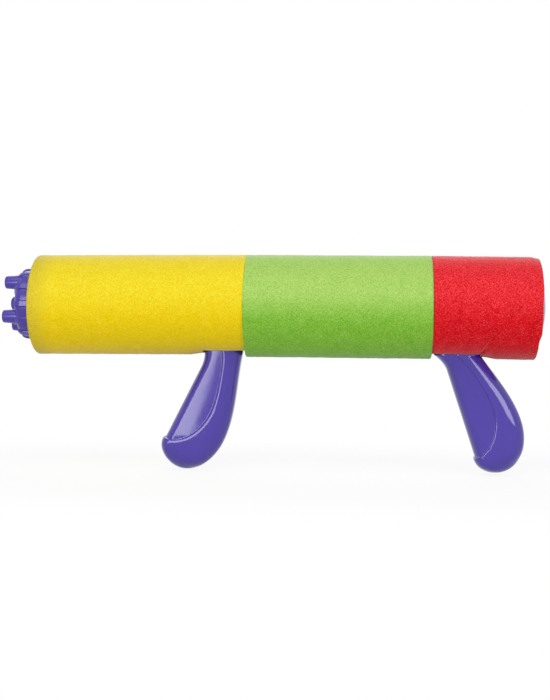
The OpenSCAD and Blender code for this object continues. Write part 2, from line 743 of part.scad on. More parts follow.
module piston_head() color(grey_plastic) difference() {
    union() {
        along_x(piston_front_x) cylinder(h = piston_length, d = piston_d);
        along_x(piston_rear_x - cut) cylinder(h = piston_spigot + cut, d = piston_spigot_d);
    }
    along_x(piston_rear_x) cylinder(h = piston_spigot + cut, d = piston_spigot_d - 2 * piston_wall);
    seal_groove(piston_front_x + seal_margin);
    seal_groove(piston_rear_x - seal_margin);
    at_piston_pin() cylinder(h = plunger_d + 2 * cut, d = piston_pin_d + 2 * bond_fit, center = true);
}

module piston_pin() color(steel)
    at_piston_pin() cylinder(h = plunger_d - 2 * bond_fit, d = piston_pin_d, center = true);

module piston_seal_front() color(dark_rubber) piston_seal(piston_front_x + seal_margin);

module piston_seal_rear() color(dark_rubber) piston_seal(piston_rear_x - seal_margin);

module rear_carrier() color(pale_plastic) {
    pipe(rear_front_x, carrier_length, barrel_d, carrier_bore);
    pipe(rear_front_x, carrier_hub, barrel_d - carrier_wall, plunger_d + 2 * bond_fit);
    key_ring(rear_grip);
}

module rear_grip_left() color(plastic) grip_left(rear_grip);

module rear_grip_right() color(plastic) grip_right(rear_grip);

module rear_grip_screws() color(steel) grip_screws(rear_grip);

module rear_cap() color(plastic) {
    flange_r = barrel_d / 2;
    dome_r = (flange_r * flange_r + rear_cap_dome * rear_cap_dome) / (2 * rear_cap_dome);
    along_x(carrier_rear_x) rotate_extrude() polygon(concat(
        [[0, 0], [flange_r, 0]],
        arc([0, rear_cap_flange + rear_cap_dome - dome_r], dome_r, acos(flange_r / dome_r), 90)));
    pipe(carrier_rear_x - rear_cap_plug, rear_cap_plug + rear_cap_flange / 2,
        carrier_bore - 2 * bond_fit, carrier_bore - 2 * bond_fit - 2 * rear_cap_wall);
    pipe(carrier_rear_x - rear_cap_plug, rear_cap_plug + rear_cap_flange / 2,
        plunger_bore - 2 * bond_fit, plunger_bore - 2 * bond_fit - 2 * rear_cap_wall);
}

barrel_tube();
barrel_bush();
bush_screws();
front_foam();
middle_foam();
front_grip_left();
front_grip_right();
front_grip_screws();
nozzle_gasket();
nozzle_cap();
nozzle_spouts();
plunger_tube();
piston_head();
piston_pin();
piston_seal_front();
piston_seal_rear();
rear_carrier();
rear_grip_left();
rear_grip_right();
rear_grip_screws();
rear_foam();
rear_cap();
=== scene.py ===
"""Looks of the water squirter: foam sleeves, moulded grips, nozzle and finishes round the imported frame.

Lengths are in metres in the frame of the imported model: X along the pump axis with the nozzle
towards -X, Z up, and the camera's side towards -Y.
"""

import logging
import math
from dataclasses import dataclass
from enum import Enum
from typing import Any, Sequence

import bmesh
import bpy
import numpy as np
from mathutils import Matrix, Vector


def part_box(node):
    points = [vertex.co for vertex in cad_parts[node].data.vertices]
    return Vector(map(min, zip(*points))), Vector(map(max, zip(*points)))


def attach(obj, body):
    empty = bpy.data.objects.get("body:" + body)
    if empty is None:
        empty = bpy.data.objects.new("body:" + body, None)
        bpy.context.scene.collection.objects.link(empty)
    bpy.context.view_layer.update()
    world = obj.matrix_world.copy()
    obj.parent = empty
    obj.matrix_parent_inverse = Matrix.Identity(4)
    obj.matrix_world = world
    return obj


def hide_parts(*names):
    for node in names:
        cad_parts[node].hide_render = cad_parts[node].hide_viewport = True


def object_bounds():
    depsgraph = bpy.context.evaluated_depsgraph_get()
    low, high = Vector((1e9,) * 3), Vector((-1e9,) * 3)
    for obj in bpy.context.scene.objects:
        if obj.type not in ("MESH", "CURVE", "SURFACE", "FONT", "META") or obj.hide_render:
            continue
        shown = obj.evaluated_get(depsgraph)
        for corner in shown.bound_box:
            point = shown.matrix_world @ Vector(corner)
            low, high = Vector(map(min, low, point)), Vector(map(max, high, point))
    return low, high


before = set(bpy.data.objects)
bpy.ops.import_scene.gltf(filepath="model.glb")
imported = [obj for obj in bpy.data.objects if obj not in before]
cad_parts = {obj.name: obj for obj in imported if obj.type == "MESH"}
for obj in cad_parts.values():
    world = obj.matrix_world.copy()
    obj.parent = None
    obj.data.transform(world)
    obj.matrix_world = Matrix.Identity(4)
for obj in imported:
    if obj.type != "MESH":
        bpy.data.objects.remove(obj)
CAD_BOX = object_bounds()

MM = 0.001
LOG = logging.getLogger("water_squirter")
MERGE_DISTANCE = 0.002 * MM
SLIVER = 0.001 * MM
LAMP_POWER = 4.0  # watts for a square metre of lamp at a radiance of 1

Colour = tuple[float, float, float]
Point = tuple[float, float, float]
Grid = np.ndarray


class Body(Enum):
    """Rigid bodies of the frame."""

    BARREL = "barrel"
    CAP = "cap"
    PLUNGER = "plunger"


class Slot(Enum):
    """Material slots of the record."""

    YELLOW_FOAM = "yellow_foam"
    GREEN_FOAM = "green_foam"
    RED_FOAM = "red_foam"
    VIOLET = "violet_plastic"
    STEEL = "steel"


class Side(Enum):
    """Halves of a grip, as the sign of their Y."""

    LEFT = -1
    RIGHT = 1


class Input(Enum):
    """Kinds of named input that a geometry tree takes."""

    NUMBER = "NodeSocketFloat"
    COUNT = "NodeSocketInt"
    VECTOR = "NodeSocketVector"
    OBJECT = "NodeSocketObject"
    MATERIAL = "NodeSocketMaterial"


class Value:
    """An output socket of a node graph that takes part in Python expressions."""

    def __init__(self, graph: "Graph", socket: bpy.types.NodeSocket) -> None:
        """Keeps the graph and the socket."""
        self.graph = graph
        self.socket = socket

    def math(self, operation: str, *operands: "Value | float") -> "Value":
        """Adds a Math node.

        Args:
            operation: The Math node's operation.
            operands: Values of its sockets, in order.

        Returns:
            The result.
        """
        return self.graph.node("ShaderNodeMath", {"operation": operation}, dict(enumerate(operands)))

    def __add__(self, other: "Value | float") -> "Value":
        """Adds a value."""
        return self.math("ADD", self, other)

    def __radd__(self, other: float) -> "Value":
        """Is added to a number."""
        return self.math("ADD", other, self)

    def __sub__(self, other: "Value | float") -> "Value":
        """Subtracts a value."""
        return self.math("SUBTRACT", self, other)

    def __rsub__(self, other: float) -> "Value":
        """Is subtracted from a number."""
        return self.math("SUBTRACT", other, self)

    def __mul__(self, other: "Value | float") -> "Value":
        """Multiplies by a value."""
        return self.math("MULTIPLY", self, other)

    def __rmul__(self, other: float) -> "Value":
        """Multiplies a number."""
        return self.math("MULTIPLY", other, self)

    def __truediv__(self, other: "Value | float") -> "Value":
        """Divides by a value."""
        return self.math("DIVIDE", self, other)

    def __rtruediv__(self, other: float) -> "Value":
        """Divides a number."""
        return self.math("DIVIDE", other, self)

    def __gt__(self, other: "Value | float") -> "Value":
        """Is 1 where it is greater than a value, and 0 elsewhere."""
        return self.math("GREATER_THAN", self, other)

    def larger(self, other: "Value | float") -> "Value":
        """Takes the larger of two values."""
        return self.math("MAXIMUM", self, other)


class Graph:
    """A node tree with one way to add nodes, shared by materials and geometry."""

    def __init__(self, tree: bpy.types.NodeTree) -> None:
        """Keeps the tree."""
        self.tree = tree

    @staticmethod
    def find(sockets: Any, key: str | int) -> bpy.types.NodeSocket:
        """Finds a socket.

        Args:
            sockets: A node's inputs or outputs.
            key: The socket's place, its identifier or its name.

        Returns:
            The first such socket that is in use.
        """
        if isinstance(key, int):
            return sockets[key]
        return next(s for s in sockets if key in (s.identifier, s.name) and s.enabled)

    def node(self, kind: str, settings: dict[str, Any] | None = None,
             inputs: dict[str | int, Any] | None = None, output: str | int = 0) -> Value | None:
        """Adds a node.

        Args:
            kind: The node's type.
            settings: Its properties, set first; "stops" are a ramp's (place, colour) pairs.
            inputs: Numbers or values for its sockets, by name, identifier or place.
            output: The socket that the result is read from.

        Returns:
            The value of that socket, or None where the node has no output.
        """
        made = self.tree.nodes.new(kind)
        for name, setting in (settings or {}).items():
            if name == "stops":
                self.set_stops(made.color_ramp, setting)
            else:
                setattr(made, name, setting)
        for key, value in (inputs or {}).items():
            socket = self.find(made.inputs, key)
            if isinstance(value, Value):
                self.tree.links.new(value.socket, socket)
            else:
                socket.default_value = value
        return Value(self, self.find(made.outputs, output)) if made.outputs else None

    @staticmethod
    def set_stops(ramp: bpy.types.ColorRamp, stops: Sequence[tuple[float, Colour]]) -> None:
        """Gives a colour ramp its stops.

        Args:
            ramp: The ramp, which has two stops when it is new.
            stops: Place and colour of each stop, at least two.
        """
        for _ in stops[2:]:
            ramp.elements.new(1.0)
        for element, (place, colour) in zip(ramp.elements, stops):
            element.position = place
            element.color = (*colour, 1.0)


class Shader(Graph):
    """The node graph of a new material, with the patterns that the finishes share."""

    def __init__(self, name: str) -> None:
        """Makes an empty material.

        Args:
            name: The material's name.
        """
        self.material = bpy.data.materials.new(name)
        self.material.use_nodes = True
        self.material.node_tree.nodes.clear()
        super().__init__(self.material.node_tree)
        self.place = self.node("ShaderNodeTexCoord", output="Object")

    def noise(self, size: float, detail: float = 2.0, stretch: Point = (1.0, 1.0, 1.0)) -> Value:
        """Adds a noise pattern.

        Args:
            size: Size of its spots.
            detail: Number of finer layers in it.
            stretch: Scale of the pattern along each axis.

        Returns:
            A number round 0.5.
        """
        place = self.node("ShaderNodeMapping", inputs={"Vector": self.place, "Scale": stretch})
        return self.node("ShaderNodeTexNoise", inputs={
            "Vector": place, "Scale": 1 / size, "Detail": detail})

    def bump(self, height: Value, depth: float, strength: float) -> Value:
        """Turns a height into a normal.

        Args:
            height: The height, as a share of the depth.
            depth: Real depth of a height of 1.
            strength: Share of the effect.

        Returns:
            The normal.
        """
        return self.node("ShaderNodeBump", inputs={
            "Height": height, "Distance": depth, "Strength": strength})

    def blend(self, share: Value, under: Value | Colour, over: Colour) -> Value:
        """Lays a colour over another.

        Args:
            share: Share of the colour on top.
            under: The colour below.
            over: The colour on top.

        Returns:
            The mixed colour.
        """
        below = under if isinstance(under, Value) else (*under, 1.0)
        return self.node("ShaderNodeMix", {"data_type": "RGBA"}, {
            "Factor_Float": share, "A_Color": below, "B_Color": (*over, 1.0)}, "Result_Color")

    def end(self, inputs: dict[str, Any]) -> bpy.types.Material:
        """Closes the material with a principled surface.

        Args:
            inputs: Numbers or values of the surface's sockets.

        Returns:
            The material.
        """
        surface = self.node("ShaderNodeBsdfPrincipled", inputs=inputs)
        self.node("ShaderNodeOutputMaterial", inputs={"Surface": surface})
        return self.material


class GeometryTree(Graph):
    """A Geometry Nodes tree with named inputs that leaves a plain mesh behind."""

    def __init__(self, name: str) -> None:
        """Makes an empty tree.

        Args:
            name: The tree's name.
        """
        super().__init__(bpy.data.node_groups.new(name, "GeometryNodeTree"))
        self.tree.interface.new_socket("Geometry", in_out="OUTPUT", socket_type="NodeSocketGeometry")
        self.tree.interface.new_socket("Shape", in_out="INPUT", socket_type="NodeSocketGeometry")
        self.source = self.tree.nodes.new("NodeGroupInput")
        self.shape = Value(self, self.find(self.source.outputs, "Shape"))
        self.material = self.field("Material", Input.MATERIAL)

    def field(self, name: str, kind: Input) -> Value:
        """Adds a named input.

        Args:
            name: The input's name.
            kind: What it takes.

        Returns:
            Its value inside the tree.
        """
        item = self.tree.interface.new_socket(name, in_out="INPUT", socket_type=kind.value)
        return Value(self, self.find(self.source.outputs, item.identifier))

    def end(self, geometry: Value) -> None:
        """Closes the tree.

        Args:
            geometry: The finished shape, which may hold instances.
        """
        real = self.node("GeometryNodeRealizeInstances", inputs={"Geometry": geometry})
        dressed = self.node("GeometryNodeSetMaterial", inputs={"Geometry": real, "Material": self.material})
        self.node("NodeGroupOutput", inputs={"Geometry": dressed})

    def apply(self, piece: bpy.types.Object, values: dict[str, Any]) -> None:
        """Runs the tree on a piece and keeps the result as its mesh.

        Args:
            piece: The object whose mesh is the tree's shape.
            values: Values of the named inputs.
        """
        modifier = piece.modifiers.new(self.tree.name, "NODES")
        modifier.node_group = self.tree
        for name, value in values.items():
            modifier[self.tree.interface.items_tree[name].identifier] = value
        depsgraph = bpy.context.evaluated_depsgraph_get()
        mesh = bpy.data.meshes.new_from_object(
            piece.evaluated_get(depsgraph), preserve_all_data_layers=True, depsgraph=depsgraph)
        piece.modifiers.remove(modifier)
        piece.data = mesh


class FoamSkinTree(GeometryTree):
    """Raises the cells of foam on a sleeve, and lets its surface waver a little."""

    def __init__(self) -> None:
        """Builds the tree."""
        super().__init__("foam_skin")
        cell_size = self.field("Cell Size", Input.NUMBER)
        cell_depth = self.field("Cell Depth", Input.NUMBER)
        wave_size = self.field("Wave Size", Input.NUMBER)
        wave_depth = self.field("Wave Depth", Input.NUMBER)
        inner_radius = self.field("Inner Radius", Input.NUMBER)
        seed = self.field("Seed", Input.NUMBER)
        place = self.node("GeometryNodeInputPosition")
        cells = self.node("ShaderNodeTexVoronoi", {"voronoi_dimensions": "4D"},
                          {"Vector": place, "W": seed, "Scale": 1 / cell_size}, "Distance")
        waves = self.node("ShaderNodeTexNoise", {"noise_dimensions": "4D"},
                          {"Vector": place, "W": seed, "Scale": 1 / wave_size, "Detail": 1.0})
        lift = (0.5 - cells) * cell_depth + (waves - 0.5) * wave_depth
        move = self.node("ShaderNodeVectorMath", {"operation": "SCALE"},
                         {0: self.node("GeometryNodeInputNormal"), "Scale": lift})
        across = self.node("ShaderNodeVectorMath", {"operation": "MULTIPLY"},
                           {0: place, 1: (0.0, 1.0, 1.0)})
        radius = self.node("ShaderNodeVectorMath", {"operation": "LENGTH"}, {0: across}, "Value")
        moved = self.node("GeometryNodeSetPosition", inputs={
            "Geometry": self.shape, "Selection": radius > inner_radius, "Offset": move})
        self.end(self.node("GeometryNodeSetShadeSmooth", inputs={"Geometry": moved}))


class NotchTree(GeometryTree):
    """Cuts a square notch out of a sleeve for the stem of a grip."""

    def __init__(self) -> None:
        """Builds the tree."""
        super().__init__("stem_notch")
        size = self.field("Notch Size", Input.VECTOR)
        centre = self.field("Notch Centre", Input.VECTOR)
        block = self.node("GeometryNodeMeshCube", inputs={"Size": size})
        block = self.node("GeometryNodeTransform", inputs={"Geometry": block, "Translation": centre})
        self.end(self.node("GeometryNodeMeshBoolean", {"operation": "DIFFERENCE", "solver": "EXACT"},
                           {"Mesh 1": self.shape, "Mesh 2": block}))


class RingTree(GeometryTree):
    """Repeats a shape round the pump axis and joins what meets."""

    def __init__(self) -> None:
        """Builds the tree."""
        super().__init__("ring_of_copies")
        count = self.field("Count", Input.COUNT)
        first = self.field("First Angle", Input.NUMBER)
        join = self.field("Join Distance", Input.NUMBER)
        angle = first + self.node("GeometryNodeInputIndex") * (math.tau / count)
        turn = self.node("ShaderNodeCombineXYZ", inputs={"X": angle})
        copies = self.node("GeometryNodeInstanceOnPoints", inputs={
            "Points": self.node("GeometryNodePoints", inputs={"Count": count}),
            "Instance": self.shape, "Rotation": turn})
        real = self.node("GeometryNodeRealizeInstances", inputs={"Geometry": copies})
        self.end(self.node("GeometryNodeMergeByDistance", inputs={"Geometry": real, "Distance": join}))


class ThreadTree(GeometryTree):
    """Winds a ridge round the pump axis from a place on it towards the rear."""

    turn_steps = 48
    ridge_steps = 8

    def __init__(self) -> None:
        """Builds the tree."""
        super().__init__("thread_ridge")
        start = self.field("Start", Input.VECTOR)
        radius = self.field("Radius", Input.NUMBER)
        turns = self.field("Turns", Input.NUMBER)
        pitch = self.field("Pitch", Input.NUMBER)
        ridge = self.field("Ridge Radius", Input.NUMBER)
        helix = self.node("GeometryNodeCurveSpiral", inputs={
            "Resolution": self.turn_steps, "Rotations": turns, "Start Radius": radius, "End Radius": radius,
            "Height": turns * pitch, "Reverse": True})
        section = self.node("GeometryNodeCurvePrimitiveCircle", inputs={
            "Resolution": self.ridge_steps, "Radius": ridge})
        wound = self.node("GeometryNodeCurveToMesh", inputs={
            "Curve": helix, "Profile Curve": section, "Fill Caps": True})
        laid = self.node("GeometryNodeTransform", inputs={
            "Geometry": wound, "Translation": start, "Rotation": (0.0, math.pi / 2, 0.0)})
        self.end(laid)


class SeatTree(GeometryTree):
    """Puts a copy of a screw at each seat, which is a vertex of its shape, facing the right side."""

    def __init__(self) -> None:
        """Builds the tree."""
        super().__init__("screws_at_seats")
        screw = self.field("Screw", Input.OBJECT)
        turn = self.field("Turn Step", Input.NUMBER)
        copy = self.node("GeometryNodeObjectInfo", inputs={"Object": screw}, output="Geometry")
        angle = self.node("GeometryNodeInputIndex") * turn
        self.end(self.node("GeometryNodeInstanceOnPoints", inputs={
            "Points": self.shape, "Instance": copy,
            "Rotation": self.node("ShaderNodeCombineXYZ", inputs={"Y": angle})}))


class WellTree(GeometryTree):
    """Sinks a round well into a grip half at each screw seat."""

    well_steps = 40

    def __init__(self) -> None:
        """Builds the tree."""
        super().__init__("screw_wells")
        seats = self.field("Seats", Input.OBJECT)
        radius = self.field("Well Radius", Input.NUMBER)
        depth = self.field("Well Depth", Input.NUMBER)
        well = self.node("GeometryNodeMeshCylinder", inputs={
            "Vertices": self.well_steps, "Radius": radius, "Depth": depth})
        middle = self.node("ShaderNodeCombineXYZ", inputs={"Y": depth / 2})
        well = self.node("GeometryNodeTransform", inputs={
            "Geometry": well, "Translation": middle, "Rotation": (math.pi / 2, 0.0, 0.0)})
        points = self.node("GeometryNodeObjectInfo", inputs={"Object": seats}, output="Geometry")
        wells = self.node("GeometryNodeInstanceOnPoints", inputs={"Points": points, "Instance": well})
        real = self.node("GeometryNodeRealizeInstances", inputs={"Geometry": wells})
        self.end(self.node("GeometryNodeMeshBoolean", {"operation": "DIFFERENCE", "solver": "EXACT"},
                           {"Mesh 1": self.shape, "Mesh 2": real}))


@dataclass(frozen=True)
class FoamFinish:
    """Closed-cell foam with a granular skin, with painted light that pales its upper side, and darker
    specks towards one end.
    """

    name: str
    pit: Colour
    skin: Colour
    pale: Colour
    # Painted light: a paler tone on the upper side, its share, the levels it rises between and its spread
    # over the grain.
    painted_light_tone: Colour
    painted_light_share: float = 0.3
    painted_light_levels: tuple[float, float] = (-14 * MM, 12 * MM)
    painted_light_grain: tuple[float, float] = (0.2, 1.8)
    stops: tuple[float, float, float] = (0.36, 0.52, 0.7)
    # Darker specks towards one end: their tone, share, start, length and grain range.
    speck_tone: Colour = (0.45, 0.38, 0.06)
    speck_share: float = 0.0
    speck_start: float = 0.0
    speck_length: float = 19 * MM
    speck_grain: tuple[float, float] = (0.36, 0.64)
    cell: float = 0.9 * MM
    cell_share: float = 0.3
    blotch: float = 7.0 * MM
    blotch_share: float = 0.15
    depth: float = 0.55 * MM
    relief: float = 0.8
    roughness: float = 0.7
    roughness_spread: float = 0.2
    specular: float = 0.06
    sheen: float = 0.4
    sheen_roughness: float = 0.35

    def material(self) -> bpy.types.Material:
        """Makes the material: a ramp over fine grain, cells and broad blotches, paled on the upper side as
        painted light, with a soft sheen.

        Returns:
            The material.
        """
        shader = Shader(self.name)
        grain = shader.noise(self.cell, 3.0)
        blotch = shader.noise(self.blotch, 1.0)
        cells = shader.node("ShaderNodeTexVoronoi", inputs={"Vector": shader.place, "Scale": 1 / self.cell},
                            output="Distance")
        height = grain * (1 - self.cell_share) + (1 - cells) * self.cell_share
        tone = shader.node("ShaderNodeValToRGB",
                           {"stops": list(zip(self.stops, (self.pit, self.skin, self.pale)))},
                           {"Fac": height + (blotch - 0.5) * self.blotch_share})
        along, level = [shader.node("ShaderNodeSeparateXYZ", inputs={"Vector": shader.place}, output=axis)
                        for axis in "XZ"]
        # Painted light: the tone is blended towards a paler colour on the upper side by height, most on the
        # grain's peaks.
        upper = shader.node("ShaderNodeMapRange", {"interpolation_type": "SMOOTHSTEP"}, {
            "Value": level, "From Min": self.painted_light_levels[0], "From Max": self.painted_light_levels[1],
            "To Min": 0.0, "To Max": self.painted_light_share})
        peaks = shader.node("ShaderNodeMapRange", inputs={
            "Value": height, "From Min": self.stops[0], "From Max": self.stops[2],
            "To Min": self.painted_light_grain[0], "To Max": self.painted_light_grain[1]})
        tone = shader.blend(upper * peaks, tone, self.painted_light_tone)
        # Darker specks on the grain, fading out over a length from one end along the axis.
        if self.speck_share:
            fade = shader.node("ShaderNodeMapRange", {"interpolation_type": "SMOOTHSTEP"}, {
                "Value": along, "From Min": self.speck_start,
                "From Max": self.speck_start + self.speck_length,
                "To Min": self.speck_share, "To Max": 0.0})
            specks = shader.node("ShaderNodeMapRange", inputs={
                "Value": grain, "From Min": self.speck_grain[0], "From Max": self.speck_grain[1]})
            tone = shader.blend(fade * specks, tone, self.speck_tone)
        return shader.end({
            "Base Color": tone, "Roughness": self.roughness + (grain - 0.5) * self.roughness_spread,
            "Specular IOR Level": self.specular,
            "Sheen Weight": self.sheen, "Sheen Roughness": self.sheen_roughness,
            "Normal": shader.bump(height, self.depth, self.relief)})


@dataclass(frozen=True)
class MouldedFinish:
    """Moulded plastic or rubber with faint flow marks and a fine ripple."""

    name: str
    colour: Colour
    shade: Colour
    roughness: float
    spread: float
    specular: float = 0.5
    ripple: float = 9.0 * MM
    ripple_depth: float = 0.01 * MM
    metallic: float = 0.0
    flow: float = 24 * MM
    flow_stretch: Point = (1.0, 1.0, 0.4)
    flow_stops: tuple[float, float] = (0.3, 0.7)
    rub: float = 3 * MM

    def material(self) -> bpy.types.Material:
        """Makes the material: two close colours in broad flow marks, uneven gloss and a ripple.

        Returns:
            The material.
        """
        shader = Shader(self.name)
        marks = shader.noise(self.flow, 2.0, self.flow_stretch)
        wear = shader.noise(self.rub, 4.0)
        tone = shader.node("ShaderNodeValToRGB",
                           {"stops": list(zip(self.flow_stops, (self.shade, self.colour)))},
                           {"Fac": marks})
        gloss = self.roughness + (wear - 0.5) * self.spread
        return shader.end({
            "Base Color": tone, "Roughness": gloss, "Metallic": self.metallic,
            "Specular IOR Level": self.specular,
            "Normal": shader.bump(shader.noise(self.ripple), self.ripple_depth, 1.0)})


VIOLET = MouldedFinish("violet_plastic", (0.064, 0.036, 0.37), (0.057, 0.031, 0.345), 0.05, 0.02)
SATIN = MouldedFinish("satin_violet_plastic", (0.064, 0.036, 0.37), (0.057, 0.031, 0.345), 0.22, 0.05)
PALE = MouldedFinish("pale_plastic", (0.8, 0.81, 0.83), (0.74, 0.75, 0.78), 0.38, 0.12)
GREY = MouldedFinish("grey_plastic", (0.2, 0.2, 0.22), (0.16, 0.16, 0.18), 0.42, 0.1)
RUBBER = MouldedFinish("black_rubber", (0.03, 0.03, 0.032), (0.02, 0.02, 0.022), 0.7, 0.15, 0.3)
STEEL = MouldedFinish("plated_steel", (0.62, 0.63, 0.65), (0.52, 0.53, 0.56), 0.28, 0.16, metallic=1.0)
# The fourth colour of each foam is the painted-light tone of its upper side.
YELLOW = FoamFinish("yellow_foam", (0.79, 0.55, 0.0), (0.86, 0.63, 0.001), (0.89, 0.7, 0.05),
                    (0.86, 0.83, 0.07), speck_share=0.8, speck_start=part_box("front_foam")[0].x)
GREEN = FoamFinish("green_foam", (0.15, 0.42, 0.02), (0.225, 0.505, 0.045), (0.34, 0.6, 0.12),
                   (0.65, 0.8, 0.27), painted_light_share=0.4, painted_light_grain=(0.7, 1.3))
RED = FoamFinish("red_foam", (0.54, 0.0, 0.002), (0.725, 0.006, 0.014), (0.8, 0.06, 0.075),
                 (0.99, 0.08, 0.1))


def smoothstep(low: float, high: float, at: Grid) -> Grid:
    """Rises smoothly from 0 to 1.

    Args:
        low: Where the rise starts.
        high: Where it ends, which may be the lower of the two.
        at: Places to work it out at.

    Returns:
        The share at each place.
    """
    share = np.clip((at - low) / (high - low), 0, 1)
    return share * share * (3 - 2 * share)


def quads(rows: int, columns: int, round_rows: bool = False,
          round_columns: bool = False) -> list[list[int]]:
    """Lists the faces of a grid of vertices.

    Args:
        rows: Number of rows.
        columns: Number of vertices in a row.
        round_rows: True where the last row meets the first.
        round_columns: True where each row is a closed ring.

    Returns:
        The corner numbers of each face.
    """
    place = np.arange(rows * columns).reshape(rows, columns)
    if round_rows:
        place = np.vstack([place, place[:1]])
    if round_columns:
        place = np.hstack([place, place[:, :1]])
    corners = [place[:-1, :-1], place[:-1, 1:], place[1:, 1:], place[1:, :-1]]
    return np.stack(corners, -1).reshape(-1, 4).tolist()


def mesh_piece(name: str, vertices: Grid, faces: list[list[int]]) -> bpy.types.Object:
    """Makes an object from a closed mesh, with its doubles merged and its faces outwards.

    Args:
        name: The object's name.
        vertices: Places of the vertices.
        faces: Corner numbers of each face.

    Returns:
        The object, in the scene.
    """
    mesh = bpy.data.meshes.new(name)
    mesh.from_pydata(vertices.reshape(-1, 3).tolist(), [], faces)
    work = bmesh.new()
    work.from_mesh(mesh)
    bmesh.ops.remove_doubles(work, verts=work.verts, dist=MERGE_DISTANCE)
    bmesh.ops.dissolve_degenerate(work, edges=work.edges, dist=SLIVER)
    bmesh.ops.recalc_face_normals(work, faces=work.faces)
    work.to_mesh(mesh)
    work.free()
    piece = bpy.data.objects.new(name, mesh)
    bpy.context.scene.collection.objects.link(piece)
    return piece


def smooth(piece: bpy.types.Object, angle: float = 40.0) -> None:
    """Shades a piece smooth, apart from its sharp edges.

    Args:
        piece: The object.
        angle: Least angle of a sharp edge, in degrees.
    """
    piece.data.shade_smooth()
    piece.data.set_sharp_from_angle(angle=math.radians(angle))


def lathe(name: str, profile: Sequence[tuple[float, float]], steps: int = 96) -> bpy.types.Object:
    """Turns a profile about the pump axis.

    Args:
        name: The object's name.
        profile: (x, radius) points, which start and end on the axis.
        steps: Number of steps round the axis.

    Returns:
        The object.
    """
    x, r = np.array(profile, float).T[:, :, None]
    turn = np.linspace(0, math.tau, steps, endpoint=False)
    vertices = np.stack(np.broadcast_arrays(x, r * np.sin(turn), r * np.cos(turn)), -1)
    return mesh_piece(name, vertices, quads(len(profile), steps, round_columns=True))


def arc(centre: tuple[float, float], radius: float, start: float, end: float,
        steps: int = 8) -> list[tuple[float, float]]:
    """Lists the points of an arc in a profile.

    Args:
        centre: Its centre, as (x, radius from the axis).
        radius: Its radius.
        start: Its first angle in degrees, from +X towards greater radius.
        end: Its last angle.
        steps: Number of steps.

    Returns:
        The points, both ends included.
    """
    angles = np.radians(np.linspace(start, end, steps + 1))
    return [(centre[0] + radius * math.cos(a), centre[1] + radius * math.sin(a)) for a in angles]


def join(name: str, pieces: Sequence[bpy.types.Object], material: bpy.types.Material) -> bpy.types.Object:
    """Joins pieces into one object.

    Args:
        name: The object's name.
        pieces: Objects at the origin, which are used up.
        material: The finish of the whole.

    Returns:
        The object.
    """
    work = bmesh.new()
    for piece in pieces:
        work.from_mesh(piece.data)
        bpy.data.objects.remove(piece)
    for face in work.faces:
        face.material_index = 0
    mesh = bpy.data.meshes.new(name)
    work.to_mesh(mesh)
    work.free()
    mesh.materials.append(material)
    joined = bpy.data.objects.new(name, mesh)
    bpy.context.scene.collection.objects.link(joined)
    return joined


def place_piece(piece: bpy.types.Object, body: Body, slot: Slot, *nodes: str) -> None:
    """Hands a finished piece to the frame.

    Args:
        piece: The object.
        body: The body that it rides on.
        slot: The material slot of its finish; not used.
        nodes: The nodes that it stands for.
    """
    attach(piece, body.value)
    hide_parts(*nodes)
    LOG.info("%s: %d faces, on %s", piece.name, len(piece.data.polygons), body.value)


